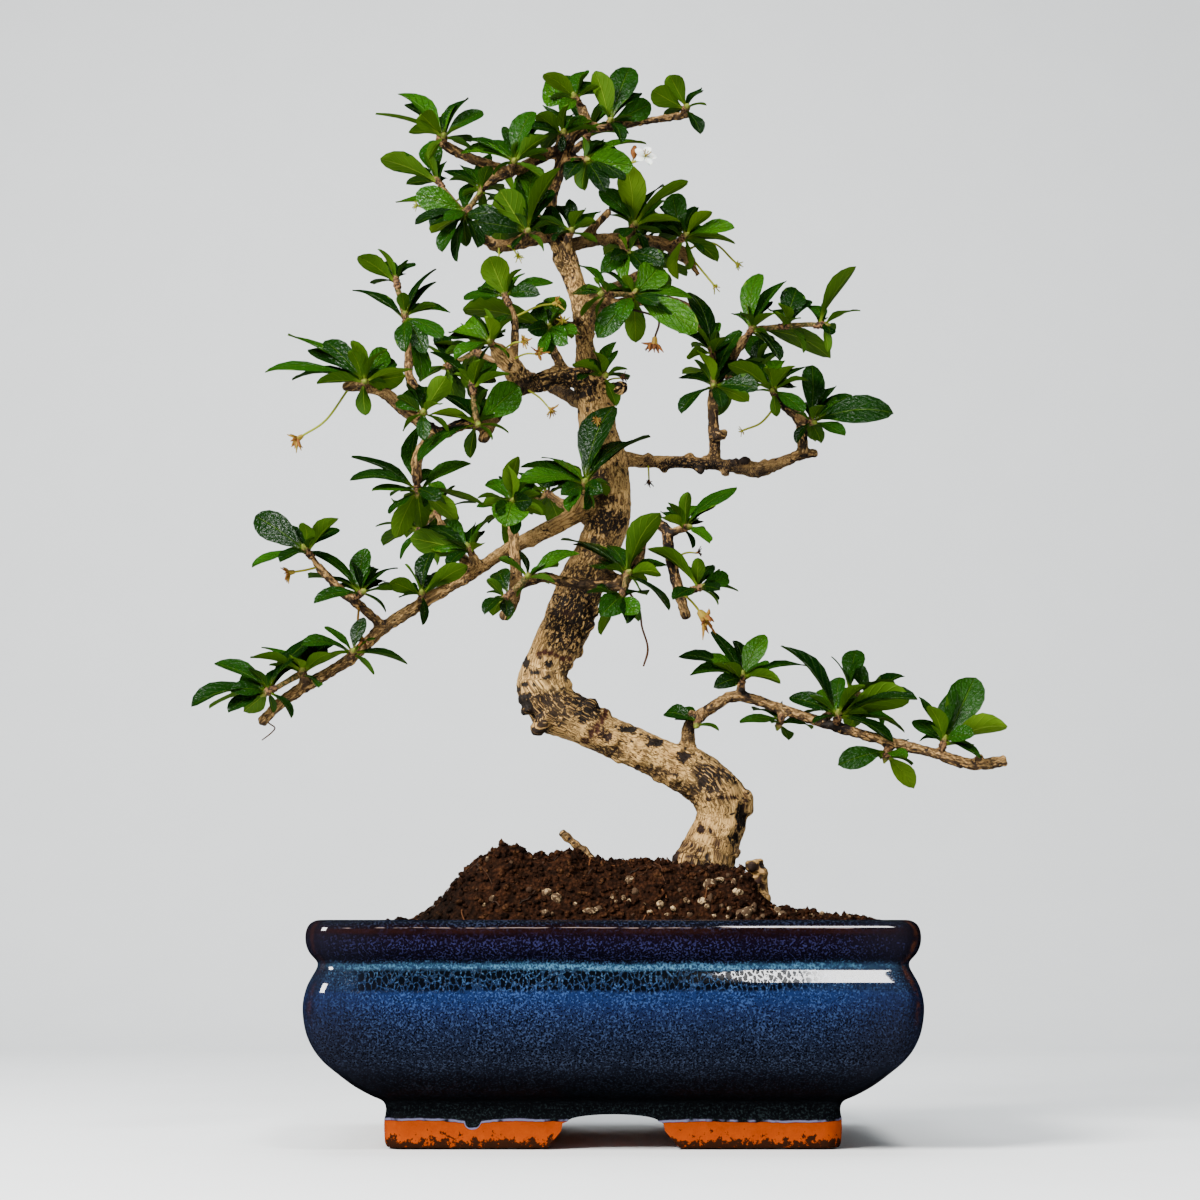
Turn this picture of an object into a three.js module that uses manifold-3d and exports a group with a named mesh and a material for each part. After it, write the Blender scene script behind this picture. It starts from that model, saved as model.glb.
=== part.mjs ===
// Fukien tea bonsai in its blue glazed pot. Millimetres, +Z up, front towards -Y.
// The tree is one wooden body, its leaves are shoots seated on the spurs of that wood,
// and the trunk stands in a hole in the soil, which fills the pot.
import * as THREE from 'three';
import { mergeVertices } from 'three/addons/utils/BufferGeometryUtils.js';
import Module from 'manifold-3d';

const wasm = await Module();
wasm.setup();

// Pot, at its widest line unless said otherwise
const POT_HALF_LENGTH = 98.6;
const POT_HALF_DEPTH = 77.5;
const POT_CORNER = 9;
const POT_CORNER_LEAST = 6;
const CORNER_STEPS = 4;
const FLOOR_TOP = 17;
const FLOOR_UNDERSIDE = 12;
const ARCH_TOP = 10.2;
const ARCH_HALF_TOP = 15.8;
const ARCH_HALF_FOOT = 20.3;
const SIDE_ARCH_NARROWER = 4;
const DRAIN_RADIUS = 7;
const DRAIN_OFFSET = 38;

// Drain screens: a square mesh of plastic bars over each drain hole
const SCREEN_HALF = 13;
const SCREEN_THICK = 1;
const SCREEN_BAR = 1.6;
const SCREEN_HOLES = 2;

// Clearances between pieces that touch
const GAP = 0.3;
const SOIL_WALL_GAP = 0.4;
const HOLE_CLEAR = 0.75;
const SLIVER = 0.02;

// Soil
const SOIL_AROUND = 36;
const SOIL_SHARES = [0.93, 0.84, 0.75, 0.66, 0.56, 0.45, 0.32, 0.16];
const SOIL_ROUGH = 1.1;
const BALL_HALF_DEPTH = 36;
const BALL_FOOT_DEPTH = 58;
const FILL_LEVEL = 67.5;

// Leaves
const BLADE_THICK = 1;
const LEAF_WIDTH_SHARE = 0.37;
const LEAF_ARCH = 0.09;
const ROOT_SUNK = 0.7;
const BUD_RADIUS = 1.9;
const BUD_HALF_LENGTH = 3;
const BUD_ROOTS = 1.2;
const OWN_CROSSING = 1.2;
const SHOOT_RADIUS = 0.8;
const TOOTHED_LEAF = 20;
const LEAST_LEAF = 8;

// Sides of the faceted limbs
const TRUNK_SIDES = 9;
const ROOT_SIDES = 7;
const LIMB_SIDES = 5;
const THICK_LIMB = 2.2;
const TWIG_SIDES = 4;
const STALK_SIDES = 3;
const LIMB_ROUGH = 0.1;

// Spurs that carry the buds
const SPUR_FOOT = 1.7;
const SPUR_END = 1.15;
const SHORTEST_SPUR = 1.5;

// The photograph's view, in which the places of wood and leaves are written:
// a point is a picture column, a picture row and a depth behind the middle of the pot
const PICTURE_MIDDLE = 600;
const FOCAL = 2592;
const VIEW_DISTANCE = 900;
const VIEW_PITCH = THREE.MathUtils.degToRad(7.58);
const VIEW_X = -4.2;
const VIEW_HEIGHT = 64.6;

function seen(column, row, depth) {
  const right = (column - PICTURE_MIDDLE) / FOCAL;
  const up = (PICTURE_MIDDLE - row) / FOCAL;
  const sin = Math.sin(VIEW_PITCH);
  const cos = Math.cos(VIEW_PITCH);
  const reach = (VIEW_DISTANCE + depth) / (cos - up * sin);
  return new THREE.Vector3(VIEW_X + reach * right, depth, VIEW_HEIGHT + reach * (sin + up * cos));
}

function perPixel(depth) {
  return (VIEW_DISTANCE + depth) / FOCAL;
}

function seededDraw(seed) {
  let state = seed;
  return () => {
    state = (state * 1664525 + 1013904223) % 4294967296;
    return state / 4294967296;
  };
}

// Mesh helpers
function facets(points, triangles) {
  const geometry = new THREE.BufferGeometry();
  const flat = points.flatMap((p) => [p.x, p.y, p.z]);
  geometry.setAttribute('position', new THREE.Float32BufferAttribute(flat, 3));
  geometry.setIndex(triangles.flat());
  return geometry;
}

function solid(geometry) {
  const bare = geometry.clone();
  bare.deleteAttribute('normal');
  bare.deleteAttribute('uv');
  const merged = mergeVertices(bare, 1e-4);
  const vertProperties = new Float32Array(merged.attributes.position.array);
  const triVerts = new Uint32Array(merged.index.array);
  return new wasm.Manifold(new wasm.Mesh({ numProp: 3, vertProperties, triVerts }));
}

function fuse(solids) {
  return solids.reduce((whole, next) => whole.add(next));
}

// Slivers left by the joins are smoothed away, so that every facet has a real size
function geometryOf(body) {
  const mesh = body.asOriginal().simplify(SLIVER).getMesh();
  const geometry = new THREE.BufferGeometry();
  geometry.setAttribute('position', new THREE.BufferAttribute(mesh.vertProperties, 3));
  geometry.setIndex(new THREE.BufferAttribute(mesh.triVerts, 1));
  return geometry;
}

// Rings stacked into a closed skin, each ring an equal count of points, with flat ends
function stack(rings) {
  const around = rings[0].length;
  const triangles = [];
  for (let k = 0; k < rings.length - 1; k++) {
    for (let i = 0; i < around; i++) {
      const a = k * around + i;
      const b = k * around + (i + 1) % around;
      triangles.push([a, b, b + around], [a, b + around, a + around]);
    }
  }
  const last = (rings.length - 1) * around;
  for (let i = 1; i < around - 1; i++) {
    triangles.push([0, i + 1, i], [last, last + i, last + i + 1]);
  }
  return facets(rings.flat(), triangles);
}

// Pot
function cornerRadius(inset) {
  return Math.max(POT_CORNER_LEAST, POT_CORNER - 0.5 * inset);
}

// Rounded rectangle at an inset from the pot's widest line, with points only round its corners
function potRing(inset, z) {
  const radius = cornerRadius(inset);
  const halfX = POT_HALF_LENGTH - inset - radius;
  const halfY = POT_HALF_DEPTH - inset - radius;
  const centres = [[1, 1], [-1, 1], [-1, -1], [1, -1]];
  const ring = [];
  centres.forEach(([sx, sy], quarter) => {
    for (let step = 0; step <= CORNER_STEPS; step++) {
      const angle = (quarter + step / CORNER_STEPS) * Math.PI / 2;
      const x = sx * halfX + radius * Math.cos(angle);
      const y = sy * halfY + radius * Math.sin(angle);
      ring.push(new THREE.Vector3(x, y, z));
    }
  });
  return ring;
}

// Inset and height down the outside, from the rounded rim over the groove and belly to the foot
const POT_OUTSIDE = [
  [3.2, 72.2], [1.2, 71], [0.4, 67.5], [1.2, 63.5], [4.2, 59.3], [3.6, 56.5], [1.2, 51.7], [0, 45.9],
  [0.4, 40.2], [2.3, 33.9], [5.6, 28.8], [9.8, 24.6], [15.2, 20], [21.2, 16.2], [24.4, 14.4],
  [25.2, 12], [24.6, 8], [24.9, 0],
];
const POT_UNDERSIDE = [[34, 0], [35.5, FLOOR_UNDERSIDE]];
const POT_INSIDE = [
  [28.5, FLOOR_TOP], [14.5, 27], [8.2, 38], [6.8, 47], [9.4, 64.5], [8.6, 71.2], [6, 72.4],
];

function prismAlong(outline, length, axis) {
  const shape = new THREE.Shape(outline.map(([x, y]) => new THREE.Vector2(x, y)));
  const prism = new THREE.ExtrudeGeometry(shape, { depth: length, bevelEnabled: false });
  prism.translate(0, 0, -length / 2);
  prism.rotateX(Math.PI / 2);
  if (axis === 'x') {
    prism.rotateZ(Math.PI / 2);
  }
  return prism;
}

// The gap between two feet: a low arch with leaning ends, right through the pot's underside
function footArch(narrower, axis) {
  const top = ARCH_HALF_TOP - narrower;
  const foot = ARCH_HALF_FOOT - narrower;
  const below = 2;
  const lean = (foot - top) / ARCH_TOP;
  const wide = foot + lean * below;
  const outline = [[-wide, -below], [wide, -below], [top, ARCH_TOP], [-top, ARCH_TOP]];
  return solid(prismAlong(outline, 2.2 * POT_HALF_LENGTH, axis));
}

function makePot() {
  const rings = [...POT_INSIDE].reverse();
  const outsideUp = [...POT_OUTSIDE].reverse();
  const skin = [...POT_UNDERSIDE].reverse().concat(outsideUp, rings);
  let body = solid(stack(skin.map(([inset, z]) => potRing(inset, z))));
  body = body.subtract(footArch(0, 'y')).subtract(footArch(SIDE_ARCH_NARROWER, 'x'));
  for (const side of [-1, 1]) {
    const drain = new THREE.CylinderGeometry(DRAIN_RADIUS, DRAIN_RADIUS, 3 * FLOOR_TOP, 16);
    drain.rotateX(Math.PI / 2);
    drain.translate(side * DRAIN_OFFSET, 0, FLOOR_TOP);
    body = body.subtract(solid(drain));
  }
  return geometryOf(body);
}

function makeScreen(side) {
  const slab = (width, thick) => new THREE.BoxGeometry(width, width, thick);
  const pitch = (2 * SCREEN_HALF - SCREEN_BAR) / SCREEN_HOLES;
  let plate = solid(slab(2 * SCREEN_HALF, SCREEN_THICK));
  for (let i = 0; i < SCREEN_HOLES; i++) {
    for (let j = 0; j < SCREEN_HOLES; j++) {
      const hole = slab(pitch - SCREEN_BAR, 3 * SCREEN_THICK);
      hole.translate((i - (SCREEN_HOLES - 1) / 2) * pitch, (j - (SCREEN_HOLES - 1) / 2) * pitch, 0);
      plate = plate.subtract(solid(hole));
    }
  }
  const geometry = geometryOf(plate);
  geometry.translate(side * DRAIN_OFFSET, 0, FLOOR_TOP + GAP + SCREEN_THICK / 2);
  return geometry;
}

// Wood: each limb is rows of picture column, row, seen width and depth, from its root outwards
const TRUNK = [
  [698, 950, 44, 2], [699, 908, 66, 1], [703, 872, 64, 0], [712, 845, 56, 0], [721, 818, 51, 0],
  [719, 798, 54, -1], [703, 781, 50, -2], [679, 768, 44, -3], [640, 750, 40, -4], [601, 733, 40, -5],
  [580, 721, 44, -6], [557, 709, 50, -6], [543, 690, 53, -6], [546, 668, 46, -6], [556, 645, 48, -5],
  [568, 622, 50, -4], [580, 586, 47, -2], [597, 550, 44, 0], [611, 513, 41, 2], [611, 477, 39, 3],
  [605, 450, 39, 3], [598, 428, 39, 2], [597, 404, 38, 2], [590, 382, 34, 1], [585, 345, 20, 0],
  [581, 304, 22, 0], [572, 275, 21, 0], [564, 250, 21, 0], [558, 233, 15, 0],
];
const ROOT_STUB = [
  [706, 925, 20, 0], [735, 925, 18, 1], [757, 908, 17, 2], [761, 885, 16, 2], [757, 862, 16, 2],
];
const LIMBS = [
  // leader
  [
    [564, 248, 17, 0], [556, 225, 13, 0], [551, 206, 11, -1], [555, 184, 11, -1], [565, 152, 10, -1],
    [573, 136, 10, 0], [586, 128, 9, 0], [602, 128, 8, 0],
  ],
  // low right, long and nearly level
  [
    [690, 762, 18, -3], [688, 735, 15, -5], [693, 721, 13, -8], [716, 705, 9, -14], [740, 696, 9, -16],
    [793, 713, 8, -20], [857, 733, 8, -26], [933, 753, 8, -31], [972, 764, 9, -32], [1004, 761, 9, -34],
  ],
  // low left, falling
  [
    [597, 503, 20, 0], [570, 518, 18, -5], [538, 535, 17, -11], [507, 550, 14, -16], [471, 574, 12, -22],
    [422, 603, 11, -27], [381, 630, 11, -32], [350, 659, 10, -38], [316, 680, 10, -42],
    [284, 700, 10, -46], [262, 722, 8, -49],
  ],
  [[385, 628, 8, -32], [359, 605, 7, -36], [340, 590, 7, -39], [318, 566, 6, -42]],
  // middle right
  [
    [608, 455, 18, 3], [640, 461, 14, 8], [680, 462, 12, 12], [715, 464, 12, 16], [740, 468, 14, 19],
    [757, 470, 16, 20], [775, 465, 11, 22], [800, 455, 9, 24], [815, 453, 7, 26],
  ],
  [
    [715, 462, 11, 16], [714, 432, 10, 12], [713, 400, 9, 8], [719, 378, 8, 7], [732, 358, 7, 8],
    [745, 338, 7, 11],
  ],
  [[803, 455, 9, 24], [802, 436, 9, 22], [800, 422, 9, 19], [789, 408, 9, 15], [777, 399, 8, 11]],
  // middle left, with its old thick stub
  [
    [590, 382, 22, 0], [569, 377, 20, -5], [550, 378, 19, -11], [530, 385, 18, -15], [515, 391, 16, -19],
    [500, 410, 14, -22], [490, 425, 11, -23], [483, 440, 8, -24],
  ],
  [
    [488, 424, 10, -23], [465, 424, 10, -26], [450, 430, 10, -27], [437, 432, 11, -28], [410, 415, 11, -30],
    [395, 402, 11, -31], [380, 390, 12, -32], [359, 385, 11, -34], [346, 387, 8, -35],
  ],
  [[437, 432, 9, -28], [424, 445, 9, -27], [417, 460, 9, -26], [417, 480, 8, -23]],
  [[411, 416, 9, -30], [414, 388, 8, -31], [409, 375, 7, -31], [409, 345, 7, -31], [407, 328, 6, -31]],
  [[524, 386, 22, -15], [515, 368, 20, -22], [505, 358, 19, -26], [497, 350, 17, -28]],
  [[513, 364, 7, -23], [515, 335, 6, -26], [515, 317, 5, -27]],
  [[565, 374, 9, -5], [548, 340, 7, -12]],
  // upper trunk
  [[583, 305, 14, 0], [606, 304, 12, -5], [626, 307, 10, -9]],
  [
    [570, 245, 14, 1], [604, 239, 11, 7], [645, 240, 10, 12], [668, 246, 12, 16], [682, 254, 15, 19],
    [692, 263, 8, 20],
  ],
  [[562, 234, 13, 0], [540, 238, 12, -3], [522, 242, 12, -5], [499, 246, 11, -8], [481, 237, 7, -11]],
  // crown
  [[563, 150, 9, -1], [543, 156, 10, -4], [522, 168, 11, -7], [505, 173, 10, -8], [489, 181, 8, -9]],
  [[507, 171, 8, -8], [478, 161, 8, -8], [455, 151, 8, -8], [441, 142, 6, -8]],
  [[588, 129, 9, 0], [582, 108, 7, 0]],
  [[598, 128, 7, 0], [640, 122, 6, 3], [680, 116, 5, 4], [692, 115, 4, 5]],
  // twig that crosses in front of the trunk, and the arch that stands beside it
  [
    [598, 572, 14, -3], [624, 584, 11, -19], [604, 586, 9, -23], [560, 581, 8, -26], [545, 577, 8, -27],
    [514, 586, 8, -27],
  ],
  [[508, 612, 9, -28], [515, 592, 12, -27], [515, 560, 9, -26], [513, 530, 8, -24], [512, 510, 7, -23]],
  [
    [622, 584, 10, -18], [637, 560, 10, -19], [644, 533, 9, -20], [654, 523, 9, -20], [666, 530, 9, -20],
    [669, 550, 9, -20], [676, 580, 9, -20], [686, 617, 8, -20],
  ],
  // limbs at the back
  [[604, 535, 16, 4], [585, 518, 12, 27], [562, 503, 8, 43]],
  [
    [584, 338, 13, 2], [602, 312, 11, 20], [640, 300, 9, 34], [684, 306, 8, 44], [706, 334, 7, 50],
    [718, 366, 7, 51],
  ],
  [[598, 412, 15, 4], [548, 385, 10, 27], [497, 362, 7, 40]],
  [[581, 300, 10, 2], [612, 288, 8, 22], [640, 274, 6, 36]],
  [[563, 242, 9, 2], [540, 222, 7, 20], [525, 210, 6, 31]],
  [[560, 168, 7, 0], [573, 152, 6, 11], [582, 143, 5, 19]],
  [[474, 572, 9, -21], [452, 545, 7, 7], [441, 524, 6, 25]],
  [[820, 722, 7, -23], [836, 708, 6, -4], [846, 696, 5, 9]],
];
// Short cut ends, thorns and dead tips
const STUBS = [
  [[548, 712, 20, -9], [536, 730, 13, -14]],
  [[600, 392, 16, 0], [622, 388, 11, -8]],
  [[583, 330, 12, -1], [563, 325, 9, -9]],
  [[713, 437, 9, 12], [723, 434, 8, 8]],
  [[508, 612, 9, -28], [504, 616, 8, -30]],
  [[512, 516, 5, -23], [503, 481, 4, -23]],
  [[586, 236, 7, 4], [609, 211, 5, 1]],
  [[567, 157, 6, -1], [607, 166, 4, -5]],
  [[606, 304, 6, -7], [613, 287, 4, -9]],
  [[690, 262, 5, 20], [698, 275, 3, 20]],
  [[976, 764, 7, -32], [980, 756, 5, -35]],
  [[440, 141, 6, -8], [437, 120, 4, -8]],
  [[264, 721, 4, -49], [262, 739, 3, -49]],
];
// A dead twig stuck in the soil beside the trunk
const TWIG = [[604, 890, 8, -3], [589, 857, 9, -3], [576, 845, 8, -3], [562, 833, 9, -3]];
// Dried flower stalks, each ending in a withered head
const DRY_STALKS = [
  [[492, 179, 4, -8], [468, 192, 3, -1], [440, 212, 3, -1], [419, 206, 3, -4]],
  [[690, 256, 4, 20], [713, 284, 3, 16]],
  [[680, 252, 4, 19], [712, 243, 3, 22], [735, 262, 3, 20]],
  [[779, 401, 4, 11], [762, 422, 3, 7], [744, 430, 3, 5]],
  [[349, 388, 4, -35], [326, 420, 3, -40], [302, 436, 3, -42]],
  [[318, 567, 4, -42], [306, 570, 3, -46], [294, 572, 3, -47]],
  [[359, 606, 4, -36], [358, 622, 3, -42], [361, 636, 3, -43]],
  [[677, 588, 5, -20], [692, 604, 3, -27], [706, 622, 3, -28]],
  [[625, 586, 4, -19], [641, 630, 3, -22], [644, 663, 3, -22]],
  [[622, 307, 4, -9], [657, 318, 3, -12], [655, 338, 3, -12]],
];
const DRY_HEAD_RADIUS = 1.8;

function limbPath(rows) {
  return rows.map(([column, row, width, depth]) => ({
    at: seen(column, row, depth),
    radius: width * perPixel(depth) / 2,
  }));
}

// A stalk's path with its withered head added: swelling from the stalk and closing again
function witheredHead(path) {
  const [before, end] = path.slice(-2);
  const onward = end.at.clone().sub(before.at).normalize();
  const along = (reach) => end.at.clone().addScaledVector(onward, reach);
  const belly = { at: along(DRY_HEAD_RADIUS), radius: DRY_HEAD_RADIUS };
  return [...path, belly, { at: along(2 * DRY_HEAD_RADIUS), radius: 0.4 * DRY_HEAD_RADIUS }];
}

// A tapering limb: rings square to the path, turned along it without twist
function limb(path, sides, grown = 0, rough = 0, draw = null) {
  const rings = [];
  let normal = new THREE.Vector3(0, 1, 0);
  path.forEach(({ at, radius }, k) => {
    const before = path[Math.max(k - 1, 0)].at;
    const after = path[Math.min(k + 1, path.length - 1)].at;
    const along = after.clone().sub(before).normalize();
    normal = normal.clone().addScaledVector(along, -normal.dot(along)).normalize();
    const across = along.clone().cross(normal);
    const ring = [];
    for (let i = 0; i < sides; i++) {
      const angle = 2 * Math.PI * i / sides;
      const swell = rough ? 1 + rough * (draw() - 0.5) : 1;
      const reach = radius * swell + grown;
      const point = at.clone().addScaledVector(normal, reach * Math.cos(angle));
      ring.push(point.addScaledVector(across, reach * Math.sin(angle)));
    }
    rings.push(ring);
  });
  return solid(stack(rings));
}

function turnedTo(geometry, axis, at) {
  const turn = new THREE.Quaternion().setFromUnitVectors(new THREE.Vector3(0, 0, 1), axis);
  geometry.applyQuaternion(turn);
  geometry.translate(at.x, at.y, at.z);
  return solid(geometry);
}

const AXES = [TRUNK, ...LIMBS].map(limbPath);

// Nearest place on the wood's axes, with the limb's radius there and how far its bark
// reaches towards the point, which is less past a limb's flat end
function nearestWood(point) {
  let best = null;
  for (const path of AXES) {
    for (let k = 0; k < path.length - 1; k++) {
      const line = new THREE.Line3(path[k].at, path[k + 1].at);
      const share = line.closestPointToPointParameter(point, true);
      const at = line.at(share, new THREE.Vector3());
      const radius = path[k].radius + share * (path[k + 1].radius - path[k].radius);
      const distance = at.distanceTo(point) - radius;
      if (best === null || distance < best.distance) {
        const pastEnd = share === 1 && k === path.length - 2;
        const onward = line.delta(new THREE.Vector3()).normalize();
        const bark = pastEnd ? radius * Math.sin(onward.angleTo(point.clone().sub(at))) : radius;
        best = { at, radius, distance, bark };
      }
    }
  }
  return best;
}

// Leaves of each bud: tip column, tip row, seen width and the side shown,
// U for the dark upper side and L for the light underside
const U = 1;
const L = -1;
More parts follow.
